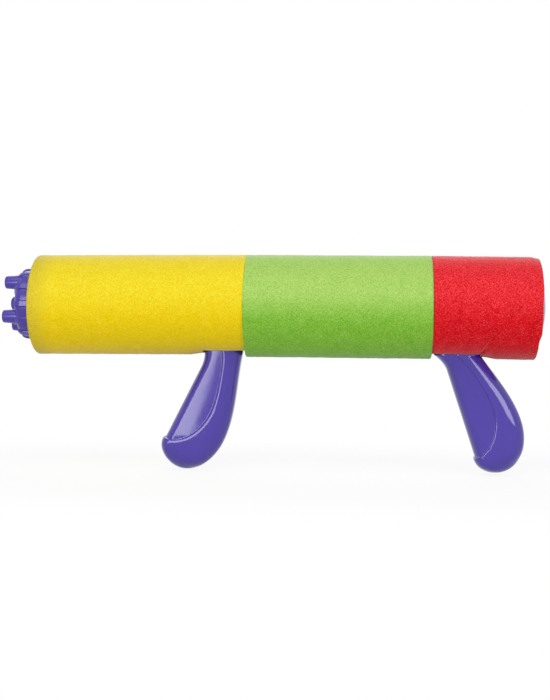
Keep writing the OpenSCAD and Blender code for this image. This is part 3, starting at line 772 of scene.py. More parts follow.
@dataclass
class FoamSleeve:
    """A foam tube with cut ends, whose granular skin is real geometry."""

    node: str
    body: Body
    slot: Slot
    finish: FoamFinish
    seed: float
    front_round: float = 1.2 * MM
    rear_round: float = 1.2 * MM
    bore: float = 25.15 * MM
    pitch: float = 0.75 * MM
    cell_size: float = 1.6 * MM
    cell_depth: float = 0.3 * MM
    wave_size: float = 16 * MM
    wave_depth: float = 0.5 * MM
    notch_width: float = 26.6 * MM
    notch_ends: tuple[float, float] | None = None
    sag: tuple[float, float] = (0.0, 0.0)
    slack: float = 0.0
    spread: tuple[float, float] = (0.0, 0.0)

    def __post_init__(self) -> None:
        """Reads the sleeve's place from the frame."""
        low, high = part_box(self.node)
        self.front, self.rear = low.x - self.spread[0], high.x + self.spread[1]
        self.radius = high.y - self.slack

    def profile(self) -> Grid:
        """Lists the section's points from the bore's front edge, over the outside, to its rear edge.

        Returns:
            (x, radius) points.
        """
        middle = np.arange(self.front + self.front_round, self.rear - self.rear_round, self.pitch)
        return np.array([
            *self.cut_end(self.front, self.front_round, 1), *((x, self.radius) for x in middle[1:]),
            *self.cut_end(self.rear, self.rear_round, -1)[::-1]])

    def cut_end(self, x: float, rounding: float, inwards: int) -> list[tuple[float, float]]:
        """Lists the points of an end from the bore to the outside.

        Args:
            x: The end's place.
            rounding: Rounding of its outer edge.
            inwards: Sign of the way from the end into the sleeve.

        Returns:
            (x, radius) points.
        """
        top = self.radius - rounding
        steps = max(2, round(math.pi * rounding / self.pitch))
        turns = np.linspace(0, math.pi / 2, steps + 1)
        return [*((x, r) for r in np.arange(self.bore, top - self.pitch / 2, self.pitch)),
                *((x + inwards * rounding * (1 - math.cos(t)), top + rounding * math.sin(t))
                  for t in turns)]

    def sculpt(self, x: Grid, angle: Grid, radius: Grid) -> tuple[Grid, Grid]:
        """Shapes the sleeve; a plain sleeve keeps its shape.

        Args:
            x: Places of the vertices along the axis.
            angle: Their angles from straight down, towards the camera's side.
            radius: Their distances from the axis.

        Returns:
            The new places along the axis and distances from it.
        """
        return x, radius

    def build(self, skin: FoamSkinTree, notch: NotchTree) -> None:
        """Makes, cuts and dresses the sleeve.

        Args:
            skin: Tree of the foam's skin.
            notch: Tree of the stem's notch.
        """
        outline = self.profile()
        steps = round(math.tau * self.radius / self.pitch)
        angle = np.linspace(-math.pi, math.pi, steps, endpoint=False)
        shape = (len(outline), steps)
        x, r = np.broadcast_to(outline[:, :1], shape), np.broadcast_to(outline[:, 1:], shape)
        x, r = self.sculpt(x, np.broadcast_to(angle, shape), r)
        outer = smoothstep(self.bore, self.radius, r)
        sag = outer * np.interp(x, (self.front, self.rear), self.sag)
        vertices = np.stack([x, -r * np.sin(angle), -r * np.cos(angle) - sag], -1)
        sleeve = mesh_piece(self.node + "_skin", vertices, quads(*x.shape, True, True))
        material = self.finish.material()
        skin.apply(sleeve, {
            "Material": material, "Cell Size": self.cell_size, "Cell Depth": self.cell_depth,
            "Wave Size": self.wave_size, "Wave Depth": self.wave_depth,
            "Inner Radius": self.bore + self.pitch, "Seed": self.seed})
        if self.notch_ends:
            start, end = self.notch_ends
            notch.apply(sleeve, {
                "Material": material, "Notch Size": (end - start, self.notch_width, self.radius),
                "Notch Centre": ((start + end) / 2, 0.0, -self.radius)})
        place_piece(sleeve, self.body, self.slot, self.node)


@dataclass
class FrontSleeve(FoamSleeve):
    """The yellow sleeve, which rises a little where it meets the front grip."""

    rise: float = 1.2 * MM
    rise_length: float = 11 * MM
    rise_angle: float = math.radians(34)

    def sculpt(self, x: Grid, angle: Grid, radius: Grid) -> tuple[Grid, Grid]:
        """Draws the underside in towards the grip.

        Args:
            x: Places of the vertices along the axis.
            angle: Their angles from straight down, towards the camera's side.
            radius: Their distances from the axis.

        Returns:
            The same places along the axis, and the new distances from it.
        """
        start = self.notch_ends[0]
        share = smoothstep(start - self.rise_length, start, x) * np.exp(-(angle / self.rise_angle) ** 2)
        return x, radius - self.rise * share


@dataclass
class RearSleeve(FoamSleeve):
    """The red sleeve, with a crease behind its grip and a rear end that is cut unevenly."""

    trim: float = 0.95 * MM
    trim_angles: tuple[float, float] = (math.radians(112), math.radians(92))
    cut_back: float = 1.7 * MM
    cut_length: float = 13 * MM
    cut_angles: tuple[float, float] = (math.radians(61), math.radians(49))
    worn_edge: float = 1.2 * MM
    worn_length: float = 7 * MM
    rise: float = 1.5 * MM
    rise_length: float = 12 * MM
    rise_angle: float = math.radians(34)
    crease_depth: float = 1.1 * MM
    crease_width: float = 1.1 * MM
    crease_top: tuple[float, float] = (112 * MM, math.radians(63))
    crease_foot: tuple[float, float] = (104 * MM, math.radians(28))
    crease_start: tuple[float, float] = (-0.3, 0.1)
    crease_end: tuple[float, float] = (1.1, 0.6)

    def sculpt(self, x: Grid, angle: Grid, radius: Grid) -> tuple[Grid, Grid]:
        """Trims and wears the rear edge, lifts the underside and presses the crease in.

        Args:
            x: Places of the vertices along the axis.
            angle: Their angles from straight down, towards the camera's side.
            radius: Their distances from the axis.

        Returns:
            The new places along the axis and distances from it.
        """
        cut = smoothstep(*self.cut_angles, np.abs(angle))
        worn = self.worn_edge * (1 - cut) * smoothstep(self.rear - self.worn_length, self.rear, x)
        shorter = self.cut_back * cut + self.trim * smoothstep(*self.trim_angles, np.abs(angle))
        x = x - shorter * smoothstep(self.rear - self.cut_length, self.rear, x)
        run = np.array([self.crease_top[0] - self.crease_foot[0],
                        (self.crease_top[1] - self.crease_foot[1]) * self.radius])
        at = np.stack([x - self.crease_foot[0], (angle - self.crease_foot[1]) * self.radius], -1)
        along = (at @ run) / (run @ run)
        aside = (at[..., 0] * run[1] - at[..., 1] * run[0]) / math.hypot(*run)
        fade = smoothstep(*self.crease_start, along) * smoothstep(*self.crease_end, along)
        dent = np.exp(-(aside / self.crease_width) ** 2) * fade
        end = self.notch_ends[1]
        near = np.exp(-(angle / self.rise_angle) ** 2)
        lift = self.rise * smoothstep(end + self.rise_length, end, x) * near
        outer = smoothstep(self.bore, self.radius, radius)
        return x, radius - self.crease_depth * dent - (worn + lift) * outer


@dataclass
class Grip:
    """A pistol grip in two halves: a proud rim and heel round a recessed finger panel."""

    name: str
    body: Body
    lean: float
    foam_radius: float
    stem_front: float
    flare: float
    flare_height: float = 9 * MM
    thickness: float = 26 * MM
    rim_step: float = 1.2 * MM
    stop: float = 0.7 * MM
    panel_inset: float = 0.7 * MM
    stop_height: float = 3.7 * MM
    depth: float = 40.8 * MM
    widest_height: float = 13.3 * MM
    neck_depth: float = 24.6 * MM
    neck_height: float = 76 * MM
    neck_slope: float = 0.28
    heel_drop: float = 18.7 * MM
    heel_offset: float = 17.8 * MM
    heel_round: float = 14 * MM
    edge_round: float = 6.5 * MM
    edge_width: float = 10.5 * MM
    roll_depth: float = 13 * MM
    roll_width: float = 10.5 * MM
    panel_depth: float = 23.5 * MM
    panel_neck_depth: float = 11.1 * MM
    panel_widest_height: float = 30.4 * MM
    panel_drop: float = 2.6 * MM
    panel_power: float = 1.5
    panel_foot: float = 1.0 * MM
    panel_core: float = 0.5
    lip_width: float = 3.4 * MM
    lip_power: float = 3
    foot_share: float = 0.3
    drop: float = 0.0
    parting: float = 0.05 * MM
    stem_top: float = -27 * MM
    seat_shares: tuple[tuple[float, float], ...] = ((0.44, 0.02), (0.36, 0.42), (0.36, 0.74))
    seat_depth: float = 5 * MM
    well_radius: float = 3.3 * MM
    screw_turn: float = 1.1
    pitch: float = 0.3 * MM

    def front(self, height: Grid, proud: float) -> Grid:
        """Depth of the front edge.

        Args:
            height: Heights above the finger stop.
            proud: How far the edge stands out in front of the panel.

        Returns:
            The depths.
        """
        fall = np.clip((height + self.stop_height) / (self.heel_drop - self.stop_height), -1, 0)
        return self.heel_offset - (self.heel_offset + proud) * np.sqrt(1 - fall ** 2)

    def back(self, height: Grid) -> Grid:
        """Depth of the back edge.

        Args:
            height: Heights above the finger stop.

        Returns:
            The depths.
        """
        heel = np.clip((self.widest_height - height) / (self.widest_height + self.heel_drop), 0, 1)
        low = self.heel_offset + (self.depth - self.heel_offset) * np.sqrt(1 - heel ** 2)
        run = self.neck_height - self.widest_height
        s = np.clip((height - self.widest_height) / run, 0, 1)
        high = (self.depth + (self.neck_depth - self.depth) * s * s * (3 - 2 * s)
                - self.neck_slope * run * (s ** 3 - s ** 2))
        above = self.neck_slope * np.clip(height - self.neck_height, 0, None)
        return np.where(height <= self.widest_height, low, high - above)

    def half(self, height: Grid, full: float) -> Grid:
        """Half thickness at heights above the finger stop, rounded in at the heel."""
        short = np.clip((self.heel_round - self.heel_drop - height) / self.heel_round, 0, 1)
        return full * np.sqrt(1 - short ** 2)

    def panel_side(self, depth: Grid, height: Grid) -> Grid:
        """Distance outside the panel's border, which is negative inside it.

        Args:
            depth: Depths behind the panel's front edge.
            height: Heights above the finger stop.

        Returns:
            The distances.
        """
        up = height - self.panel_widest_height
        wide, tall = self.panel_depth + self.stop, self.panel_widest_height + self.panel_drop
        spread = np.hypot((depth + self.stop) / wide, up / tall)
        # In the core of the ellipse only the sign matters, so the share is held off zero there.
        clear = np.maximum(spread, self.panel_core)
        below = np.hypot(depth + self.stop, up) * (1 - 1 / clear) - wide * (spread < self.panel_core)
        share = np.clip(up / (self.neck_height - self.panel_widest_height), 0, None)
        taper = self.panel_depth - self.panel_neck_depth
        above = depth - self.panel_depth + taper * share ** self.panel_power
        return np.where(up < 0, below, above)

    def points(self, length: float) -> int:
        """Number of points that a stretch of the surface gets at the pitch."""
        return round(length / self.pitch)

    def ring(self, height: Grid, proud: float, full: float) -> tuple[Grid, Grid]:
        """One half of a rounded section at each height, from the front parting line to the back.

        Args:
            height: A column of heights.
            proud: How far the front edge stands out.
            full: Half thickness above the heel.

        Returns:
            Depths and half widths, one row for each height.
        """
        front, back, half = self.front(height, proud), self.back(height), self.half(height, full)
        edge = np.minimum(np.minimum(self.edge_round, half), (back - front) / 2)
        roll = np.minimum(self.roll_depth, (back - front) / 2)
        edge_width, roll_width = np.minimum(self.edge_width, half), np.minimum(self.roll_width, half)
        # The lengths are rough: each stretch only needs points about as close as its neighbours'.
        flat = np.linspace(0, 1, self.points(self.thickness / 6))[:-1]
        turn = np.linspace(0, math.pi / 2, self.points(1.6 * self.edge_round))
        wide_turn = np.linspace(0, math.pi / 2, self.points(1.3 * self.roll_depth))
        side = np.linspace(0, 1, self.points(0.55 * self.depth))[1:-1]
        depths = [front + 0 * flat, front + edge * (1 - np.cos(turn)),
                  front + edge + (back - front - edge - roll) * side,
                  back - roll * (1 - np.sin(wide_turn)), back + 0 * flat]
        widths = [(half - edge_width) * flat, half - edge_width * (1 - np.sin(turn)), half + 0 * side,
                  half - roll_width * (1 - np.cos(wide_turn)), (half - roll_width) * flat[::-1]]
        return np.hstack(depths), np.hstack(widths)

    def heights(self, top: float) -> Grid:
        """Lists heights from the heel to a top, closer together where the heel rounds in.

        Args:
            top: The last height above the finger stop.

        Returns:
            A column of heights.
        """
        turns = np.linspace(0, math.pi / 2, self.points(1.8 * self.heel_round))
        heel = -self.heel_drop + self.heel_round * (1 - np.cos(turns))
        shank = np.arange(heel[-1] + self.pitch, top, self.pitch)
        return np.concatenate([heel, shank, [top]])[:, None]

    def surface(self) -> Grid:
        """Works out the left half's outside.

        Returns:
            Places of its vertices, in rows from the heel to inside the foam.
        """
        surface_z = -math.sqrt(self.foam_radius ** 2 - (self.thickness / 2) ** 2)
        sine, cosine = math.sin(self.lean), math.cos(self.lean)
        low_z = self.heel_level()
        height = self.heights(self.neck_height + self.neck_depth / 2)
        depth, width = self.ring(height, self.stop, self.thickness / 2)
        inner_depth, inner_width = self.ring(height, -self.panel_inset, self.thickness / 2 - self.rim_step)
        climb = np.clip((self.panel_side(depth, height) + self.panel_foot) / self.lip_width, 0, 1)
        inside = 1 - (1 - (1 - climb) ** self.lip_power) * smoothstep(0, self.foot_share, climb)
        depth = depth + (inner_depth - depth) * inside
        width = width + (inner_width - width) * inside + self.parting
        z = height * cosine - depth * sine
        z += low_z - z.min()
        x = depth * cosine + height * sine
        edge_x = np.interp(-self.foam_radius, z[:, 0], x[:, 0])
        x += self.stem_front + self.flare - edge_x
        near = np.clip((z + self.foam_radius) / self.flare_height + 1, 0, None) ** 2
        x -= self.flare * near * smoothstep(self.neck_depth, 0, depth)
        beyond = z > surface_z
        x = np.where(beyond, self.held(x, z, surface_z), x)
        return np.stack([x, -width, np.minimum(z, self.stem_top)], -1)

    @staticmethod
    def held(x: Grid, z: Grid, level: float) -> Grid:
        """Place along the axis at which each column of the surface reaches a level."""
        columns = [np.interp(level, z[:, j], x[:, j]) for j in range(x.shape[1])]
        return np.broadcast_to(columns, x.shape)

    def half_shell(self, side: Side, material: bpy.types.Material) -> bpy.types.Object:
        """Makes one half, closed at its parting face and inside the foam.

        Args:
            side: The half.
            material: Its finish.

        Returns:
            The half, not yet placed.
        """
        outside = self.surface() * (1, -side.value, 1)
        rows, columns = outside.shape[:2]
        place = np.arange(rows * columns).reshape(rows, columns)
        parting_face = np.concatenate([place[:, 0], place[::-1, -1]]).tolist()
        faces = quads(rows, columns) + [place[-1].tolist(), parting_face]
        shell = mesh_piece(f"{self.name}_{side.name.lower()}_shell", outside, faces)
        shell.data.materials.append(material)
        return shell

    def seats(self) -> bpy.types.Object:
        """Makes a helper with a vertex at each screw's seat.

        Returns:
            The helper, which becomes the set of screws.
        """
        sine, cosine = math.sin(self.lean), math.cos(self.lean)
        stop = self.stop_place()
        points = [stop + Vector((d * self.depth * cosine + h * self.neck_height * sine, self.seat_depth,
                                 h * self.neck_height * cosine - d * self.depth * sine))
                  for d, h in self.seat_shares]
        mesh = bpy.data.meshes.new(self.name + "_seats")
        mesh.from_pydata(points, [], [])
        helper = bpy.data.objects.new(mesh.name, mesh)
        bpy.context.scene.collection.objects.link(helper)
        return helper

    def heel_level(self) -> float:
        """Level of the heel's lowest point."""
        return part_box(self.name + "_left")[0].z - self.drop

    def stop_place(self) -> Vector:
        """Works out where the finger stop is from the heel's and the stem's places.

        Returns:
            The stop's place.
        """
        sine, cosine = math.sin(self.lean), math.cos(self.lean)
        height = self.heights(self.neck_height)
        depth = self.ring(height, self.stop, self.thickness / 2)[0]
        z = self.heel_level() - (height * cosine - depth * sine).min()
        x = self.stem_front + self.flare + (self.foam_radius + z) * math.tan(self.lean)
        return Vector((x, 0, z))

    def build(self, wells: WellTree, screws: SeatTree, screw: bpy.types.Object,
              plastic: bpy.types.Material, steel: bpy.types.Material) -> None:
        """Makes both halves and the screws.

        Args:
            wells: Tree of the wells in the right half.
            screws: Tree of the screws.
            screw: One screw at the origin.
            plastic: Finish of the halves.
            steel: Finish of the screws.
        """
        seats = self.seats()
        for side in Side:
            shell = self.half_shell(side, plastic)
            if side is Side.RIGHT:
                wells.apply(shell, {"Material": plastic, "Seats": seats, "Well Radius": self.well_radius,
                                    "Well Depth": self.thickness})
            smooth(shell)
            place_piece(shell, self.body, Slot.VIOLET, f"{self.name}_{side.name.lower()}")
        screws.apply(seats, {"Material": steel, "Screw": screw, "Turn Step": self.screw_turn})
        seats.name = self.name + "_screw_set"
        smooth(seats)
        place_piece(seats, self.body, Slot.STEEL, self.name + "_screws")


@dataclass
class GripScrew:
    """A pan-head screw with a cross recess, drawn at the origin along Y with its head towards +Y."""

    head_radius: float = 3 * MM
    head_height: float = 2.2 * MM
    crown: float = 0.9 * MM
    shank_radius: float = 1.5 * MM
    shank_length: float = 14.6 * MM
    point_length: float = 1.5 * MM
    point_share: float = 0.6
    cross_span: float = 3.2 * MM
    cross_width: float = 0.75 * MM
    cross_depth: float = 1.2 * MM

    def build(self) -> bpy.types.Object:
        """Makes the screw.

        Returns:
            The screw, which the seats copy.
        """
        rounded = arc((self.head_height - self.crown, self.head_radius - self.crown), self.crown, 90, 10)
        profile = [(-self.shank_length, 0.0), (-self.shank_length, self.point_share * self.shank_radius),
                   (self.point_length - self.shank_length, self.shank_radius), (0.0, self.shank_radius),
                   (0.0, self.head_radius), *rounded, (self.head_height, 0.0)]
        screw = lathe("grip_screw", profile, steps=40)
        screw.data.transform(Matrix.Rotation(math.pi / 2, 4, "Z"))
        for turn in (0.0, math.pi / 2):
            self.cut_arm(screw, turn)
        return screw

    def cut_arm(self, screw: bpy.types.Object, turn: float) -> None:
        """Cuts one arm of the cross.

        Args:
            screw: The screw.
            turn: The arm's angle about the screw.
        """
        mesh = bpy.data.meshes.new("arm")
        work = bmesh.new()
        size = Matrix.Diagonal((self.cross_span, 2 * self.cross_depth, self.cross_width, 1))
        bmesh.ops.create_cube(work, matrix=Matrix.Rotation(turn, 4, "Y") @ size)
        bmesh.ops.translate(work, verts=work.verts, vec=(0, self.head_height, 0))
        work.to_mesh(mesh)
        work.free()
        arm = bpy.data.objects.new("arm", mesh)
        bpy.context.scene.collection.objects.link(arm)
        modifier = screw.modifiers.new("cross", "BOOLEAN")
        modifier.object, modifier.operation, modifier.solver = arm, "DIFFERENCE", "EXACT"
        depsgraph = bpy.context.evaluated_depsgraph_get()
        screw_mesh = bpy.data.meshes.new_from_object(screw.evaluated_get(depsgraph), depsgraph=depsgraph)
        screw.modifiers.clear()
        screw.data = screw_mesh
        bpy.data.objects.remove(arm)


@dataclass
class NozzleCap:
    """The screw cap: a ribbed wall, four spouts on a ring, one in the middle and a threaded spigot."""

    ribs: int = 12
    rib_height: float = 1.3 * MM
    rib_width: float = 4.4 * MM
    rib_start: float = 3.4 * MM
    rib_edge: float = 0.3 * MM
    face_edge: float = 5.6 * MM
    face: float = 2.6 * MM
    forward: float = 1.4 * MM
    wall_length: float = 12 * MM
    wall_radius: float = 25 * MM
    spigot_radius: float = 21.7 * MM
    spigot_bore: float = 19.9 * MM
    small_edge: float = 0.3 * MM
    sector_columns: int = 61
    wall_join: float = 0.01 * MM
    spouts: int = 4
    spout_circle: float = 18.4 * MM
    spout_turn: float = math.radians(31)
    spout_radius: float = 5.4 * MM
    spout_taper: float = 0.65 * MM
    spout_bore: float = 1.4 * MM
    spout_bore_depth: float = 7 * MM
    spout_tip: float = 1.2 * MM
    spout_lip: float = 0.3 * MM
    spout_join: float = 0.001 * MM
    ring_spout_length: float = 9.7 * MM
    centre_spout_length: float = 7.8 * MM
    centre_spout_radius: float = 6 * MM
    centre_spout_tip: float = 2.6 * MM
    thread_start: float = 3.6 * MM
    thread_pitch: float = 4 * MM
    thread_turns: float = 1.5
    thread_ridge: float = 0.9 * MM
    gasket: float = 1.5 * MM

    def __post_init__(self) -> None:
        """Reads the cap's place from the frame, and works out the radius of its flat face."""
        low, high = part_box("nozzle_cap")
        self.front, self.rear = low.x - self.forward, high.x
        self.flat = self.wall_radius - self.face_edge

    def wall_profile(self) -> Grid:
        """Lists the section's points from the face's middle, over the wall and spigot, to the inside.

        Returns:
            (x, radius) points.
        """
        fine = self.small_edge
        back, inner = self.front + self.wall_length, self.front + self.face
        rounded = arc((self.front + self.face_edge, self.flat), self.face_edge, 180, 90, steps=16)
        return np.array([
            *((self.front, r) for r in np.linspace(0, self.flat, 12)[:-1]), *rounded,
            *((x, self.wall_radius) for x in np.arange(rounded[-1][0] + fine, back - fine, fine)),
            *arc((back - fine, self.wall_radius - fine), fine, 90, 0, steps=3), (back, self.spigot_radius),
            (self.rear - fine, self.spigot_radius), (self.rear, self.spigot_radius - fine),
            (self.rear, self.spigot_bore), (inner, self.spigot_bore), (inner, 0)])

    def sector(self) -> bpy.types.Object:
        """Makes the share of the cap that one rib takes.

        Returns:
            The sector, with its rib at the top.
        """
        outline = self.wall_profile()
        step = np.gradient(outline, axis=0)
        run = np.concatenate([[0], np.cumsum(np.hypot(*np.diff(outline, axis=0).T))])[:, None]
        normal = np.stack([-step[:, 1], step[:, 0]], -1) / np.maximum(np.hypot(*step.T), MM * MM)[:, None]
        half = math.pi / self.ribs
        angle = np.linspace(-half, half, self.sector_columns)
        x, r = outline[:, :1], outline[:, 1:]
        end = self.flat + self.rib_start + self.rib_width / 2
        outside = np.hypot(np.clip(end - run, 0, None), angle * self.wall_radius) - self.rib_width / 2
        on_wall = run < self.flat + self.face_edge * math.pi / 2 + self.wall_length - self.face_edge
        lift = self.rib_height * smoothstep(self.rib_edge, -self.rib_edge, outside) * on_wall
        x = x + lift * normal[:, :1]
        r = r + lift * normal[:, 1:]
        vertices = np.stack([x + 0 * angle, -r * np.sin(angle), r * np.cos(angle)], -1)
        return mesh_piece("cap_sector", vertices, quads(*vertices.shape[:2]))

    def spout(self, name: str, length: float, radius: float, tip: float) -> bpy.types.Object:
        """Makes a spout on the pump axis.

        Args:
            name: The object's name.
            length: Its length in front of the cap's face.
            radius: Its radius at the foot.
            tip: Rounding of its tip.

        Returns:
            The spout.
        """
        foot, end = self.front + self.face_edge, self.front - length
        tip_radius = radius - self.spout_taper
        profile = [(foot, 0.0), (foot, radius), (self.front, radius),
                   *arc((end + tip, tip_radius - tip), tip, 90, 180),
                   (end, self.spout_bore + self.spout_lip), (end + self.spout_lip, self.spout_bore),
                   (end + self.spout_bore_depth, self.spout_bore), (end + self.spout_bore_depth, 0.0)]
        return lathe(name, profile, steps=48)

    def build(self, ring: RingTree, thread: ThreadTree, plastic: bpy.types.Material) -> None:
        """Makes the cap as one piece.

        Args:
            ring: Tree of copies round the axis.
            thread: Tree of the spigot's ridge.
            plastic: Its finish.
        """
        wall = self.sector()
        ring.apply(wall, {"Material": plastic, "Count": self.ribs, "First Angle": math.pi / 2,
                          "Join Distance": self.wall_join})
        spouts = self.spout("ring_spouts", self.ring_spout_length, self.spout_radius, self.spout_tip)
        spouts.data.transform(Matrix.Translation((0, 0, self.spout_circle)))
        ring.apply(spouts, {"Material": plastic, "Count": self.spouts, "First Angle": self.spout_turn,
                            "Join Distance": self.spout_join})
        centre = self.spout("centre_spout", self.centre_spout_length, self.centre_spout_radius,
                            self.centre_spout_tip)
        ridge = mesh_piece("spigot_thread", np.zeros((1, 3)), [])
        start = self.front + self.wall_length + self.gasket + self.thread_start
        thread.apply(ridge, {
            "Material": plastic, "Start": (start, 0.0, 0.0), "Radius": self.spigot_radius,
            "Turns": self.thread_turns, "Pitch": self.thread_pitch, "Ridge Radius": self.thread_ridge})
        cap = join("nozzle_cap_shell", [wall, spouts, centre, ridge], plastic)
        smooth(cap, angle=50)
        place_piece(cap, Body.CAP, Slot.VIOLET, "nozzle_cap", "nozzle_spouts")


@dataclass
class RearCap:
    """The domed cap that closes the plunger's rear end."""

    flange: float = 3 * MM
    dome: float = 5 * MM
    edge: float = 0.8 * MM
    plug_radius: float = 22.5 * MM

    def build(self, plastic: bpy.types.Material) -> None:
        """Makes the cap.

        Args:
            plastic: Its finish.
        """
        low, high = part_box("rear_cap")
        radius = high.y
        seat = high.x - self.dome - self.flange
        dome_radius = (radius ** 2 + self.dome ** 2) / (2 * self.dome)
        slope = math.degrees(math.asin((radius - self.edge) / dome_radius))
        crown = arc((high.x - dome_radius, 0.0), dome_radius, slope, 0, steps=24)
        edge = arc((seat + self.flange, radius - self.edge), self.edge, 90, 30, steps=5)
        plug = [(low.x, 0.0), (low.x, self.plug_radius), (seat, self.plug_radius)]
        cap = lathe("rear_cap_dome", [*plug, (seat, radius), *edge, *crown])
        cap.data.materials.append(plastic)
        smooth(cap)
        place_piece(cap, Body.PLUNGER, Slot.VIOLET, "rear_cap")


@dataclass(frozen=True)
class Softbox:
    """A rectangular lamp that faces a point, with its roll clockwise as that point sees it."""

    name: str
    place: Point
    target: Point
    size: tuple[float, float]
    radiance: float
    roll: float = 0.0

    def build(self) -> None:
        """Hangs the lamp; its radiance is 1 where its face is white."""
        data = bpy.data.lights.new(self.name, "AREA")
        data.shape = "RECTANGLE"
        data.size, data.size_y = self.size
        data.energy = LAMP_POWER * self.size[0] * self.size[1] * self.radiance
        lamp = bpy.data.objects.new(self.name, data)
        bpy.context.scene.collection.objects.link(lamp)
        place, target = Vector(self.place), Vector(self.target)
        turn = (target - place).to_track_quat("-Z", "Y").to_matrix().to_4x4()
        lamp.matrix_world = Matrix.Translation(place) @ turn @ Matrix.Rotation(-self.roll, 4, "Z")


OVERHEAD = Softbox("overhead", (-0.1, -0.6, 1.0), (-0.05, 0.0, -0.02), (1.2, 0.6), 1.8)
FRONT_LEFT = Softbox("front_left", (-0.386, -1.08, 0.147), (0.1065, 0.0, 0.147), (0.48, 0.71), 5.0,
                     math.radians(19))
RIGHT_STRIP = Softbox("right_strip", (0.7, -0.56, 0.16), (0.12, 0.0, 0.16), (0.4, 0.3), 4.5)
BACK = Softbox("back", (-0.05, 0.85, 0.75), (-0.05, 0.0, 0.0), (1.2, 0.7), 1.6)


@dataclass
class Studio:
    """Camera, lamps, floor and white surroundings."""

    image_size: tuple[int, int] = (550, 700)
    focal_pixels: float = 1200
    distance: float = 891.6 * MM
    aim_x: float = -47.2 * MM
    yaw: float = math.radians(4.3)
    roll: float = math.radians(0.47)
    axis_row: float = 305.7
    sensor: float = 36.0
    softboxes: tuple[Softbox, ...] = (OVERHEAD, FRONT_LEFT, RIGHT_STRIP, BACK)
    ambient: float = 0.22
    floor_tone: float = 0.7
    floor_gap: float = 1.6 * MM
    floor_size: float = 8.0
    floor_front: float = -0.25
    shadow_reach: tuple[float, float] = (0.09, 0.24)
    shadow_stretch: Point = (0.35, 1.0, 0.0)
    shadow_share: float = 0.1

    def camera(self) -> None:
        """Sets the camera at the photograph's angle, with its axis on the row of the pump axis."""
        data = bpy.data.cameras.new("camera")
        data.sensor_width = self.sensor
        data.lens = self.sensor * self.focal_pixels / max(self.image_size)
        data.shift_y = (self.axis_row - self.image_size[1] / 2) / max(self.image_size)
        camera = bpy.data.objects.new("camera", data)
        bpy.context.scene.collection.objects.link(camera)
        right = Vector((math.cos(self.yaw), math.sin(self.yaw), 0))
        back = Vector((math.sin(self.yaw), -math.cos(self.yaw), 0))
        up = Vector((0, 0, 1))
        turned_right = right * math.cos(self.roll) + up * math.sin(self.roll)
        turned_up = up * math.cos(self.roll) - right * math.sin(self.roll)
        turn = Matrix((turned_right, turned_up, back)).transposed().to_4x4()
        place = Vector((self.aim_x, 0, 0)) + back * self.distance
        camera.matrix_world = Matrix.Translation(place) @ turn
        bpy.context.scene.camera = camera

    @staticmethod
    def seen(graph: Graph) -> Value:
        """Is 1 for what the camera sees, straight or by reflection, and 0 for what lights the object.

        Args:
            graph: The graph to add to.

        Returns:
            The share.
        """
        rays = [graph.node("ShaderNodeLightPath", output=ray)
                for ray in ("Is Camera Ray", "Is Glossy Ray", "Is Transmission Ray")]
        return rays[0].larger(rays[1]).larger(rays[2])

    def surroundings(self) -> None:
        """Makes the world white to the camera and a plain pale grey as a light."""
        world = bpy.data.worlds.new("surroundings")
        world.use_nodes = True
        world.node_tree.nodes.clear()
        graph = Graph(world.node_tree)
        strength = self.ambient + self.seen(graph) * (1 - self.ambient)
        white = graph.node("ShaderNodeBackground", inputs={"Color": (1, 1, 1, 1), "Strength": strength})
        graph.node("ShaderNodeOutputWorld", inputs={"Surface": white})
        bpy.context.scene.world = world

    def floor(self) -> None:
        """Lays a pale floor under the grips, which stays white and keeps a soft shadow."""
        level = CAD_BOX[0].z - self.floor_gap
        half = self.floor_size / 2
        corners = np.array([(-half, self.floor_front, level), (half, self.floor_front, level),
                            (half, half, level), (-half, half, level)])
        floor = mesh_piece("floor", corners, [[0, 1, 2, 3]])
        shader = Shader("pale_floor")
        seen = self.seen(shader)
        across = shader.node("ShaderNodeVectorMath", {"operation": "MULTIPLY"},
                             {0: shader.place, 1: self.shadow_stretch})
        away = shader.node("ShaderNodeVectorMath", {"operation": "LENGTH"}, {0: across}, "Value")
        near = shader.node("ShaderNodeMapRange", {"interpolation_type": "SMOOTHSTEP"}, {
            "Value": away, "From Min": self.shadow_reach[0], "From Max": self.shadow_reach[1],
            "To Min": self.shadow_share, "To Max": 0.0})
        matt = shader.node("ShaderNodeBsdfDiffuse", inputs={
            "Color": shader.blend(seen, (self.floor_tone,) * 3, (1.0, 1.0, 1.0))})
        glow = shader.node("ShaderNodeEmission", inputs={"Color": (1, 1, 1, 1), "Strength": 1.0})
        mixed = shader.node("ShaderNodeMixShader", inputs={0: seen * (1 - near), 1: matt, 2: glow})
        shader.node("ShaderNodeOutputMaterial", inputs={"Surface": mixed})
        floor.data.materials.append(shader.material)

    def build(self) -> None:
        """Sets up the whole studio."""
        bpy.context.scene.view_settings.view_transform = "Standard"
        self.camera()
        for softbox in self.softboxes:
            softbox.build()
        self.surroundings()
        self.floor()


@dataclass(frozen=True)
class InnerParts:
    """Nodes that keep their own meshes and share a finish."""

    finish: MouldedFinish
    nodes: tuple[str, ...]

    def dress(self) -> None:
        """Gives each node the finish."""
        material = self.finish.material()
        for name in self.nodes:
            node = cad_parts[name]
            node.data.materials.clear()
            node.data.materials.append(material)
            LOG.info("%s: dressed in %s", name, self.finish.name)


INNER_PARTS = (
    InnerParts(PALE, ("barrel_tube", "barrel_bush", "plunger_tube", "rear_carrier")),
    InnerParts(GREY, ("piston_head",)),
    InnerParts(RUBBER, ("nozzle_gasket", "piston_seal_front", "piston_seal_rear")),
    InnerParts(STEEL, ("bush_screws", "piston_pin")),
)


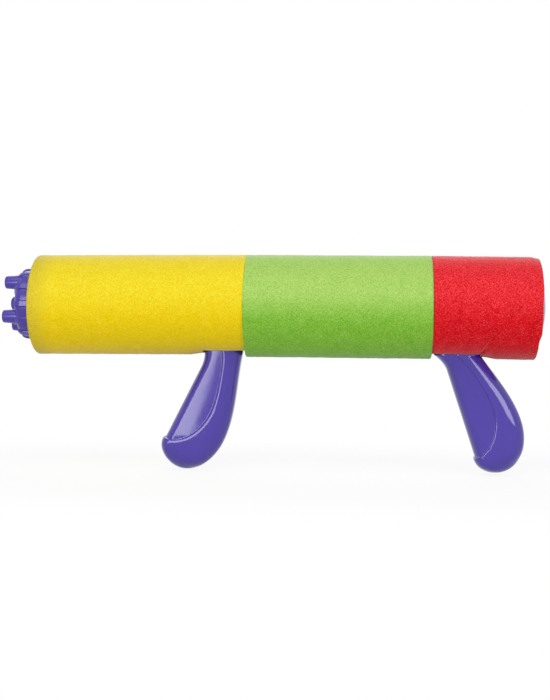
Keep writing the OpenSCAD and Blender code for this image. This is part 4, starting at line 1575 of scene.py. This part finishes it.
def main() -> None:
    """Builds every piece and the studio."""
    logging.basicConfig(level=logging.INFO, format="%(name)s: %(message)s")
    front_stem, rear_stem, rear_stem_end = -99.3 * MM, 73.2 * MM, 105.1 * MM
    notch_room = 0.2 * MM
    skin, notch = FoamSkinTree(), NotchTree()
    sleeves = [
        FrontSleeve("front_foam", Body.BARREL, Slot.YELLOW_FOAM, YELLOW, seed=1.0,
                    front_round=2 * MM, rear_round=0.3 * MM, sag=(0.5 * MM, -0.6 * MM),
                    slack=0.3 * MM, spread=(0.3 * MM, 0.3 * MM),
                    notch_ends=(front_stem - notch_room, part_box("front_foam")[1].x + MM)),
        FoamSleeve("middle_foam", Body.BARREL, Slot.GREEN_FOAM, GREEN, seed=2.0,
                   front_round=0.3 * MM, rear_round=1.2 * MM, sag=(0.3 * MM, 0.3 * MM), slack=0.3 * MM,
                   spread=(0.0, 0.25 * MM)),
        RearSleeve("rear_foam", Body.PLUNGER, Slot.RED_FOAM, RED, seed=3.0,
                   front_round=0.4 * MM, rear_round=0.5 * MM, sag=(0.0, 0.5 * MM), spread=(0.25 * MM, 0.0),
                   notch_ends=(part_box("rear_foam")[0].x - MM, rear_stem_end + notch_room)),
    ]
    for sleeve in sleeves:
        sleeve.build(skin, notch)
    plastic, steel = VIOLET.material(), STEEL.material()
    screw = GripScrew().build()
    wells, screws = WellTree(), SeatTree()
    front_radius, rear_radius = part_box("front_foam")[1].y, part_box("rear_foam")[1].y
    grips = [
        Grip("front_grip", Body.BARREL, lean=math.radians(26.6), foam_radius=front_radius,
             stem_front=front_stem, flare=1.8 * MM, drop=1.1 * MM),
        Grip("rear_grip", Body.PLUNGER, lean=math.radians(-18.2), foam_radius=rear_radius,
             stem_front=rear_stem, flare=3.7 * MM),
    ]
    for grip in grips:
        grip.build(wells, screws, screw, plastic, steel)
    bpy.data.objects.remove(screw)
    NozzleCap().build(RingTree(), ThreadTree(), SATIN.material())
    RearCap().build(plastic)
    for parts in INNER_PARTS:
        parts.dress()
    Studio().build()


if __name__ == "__main__":
    main()
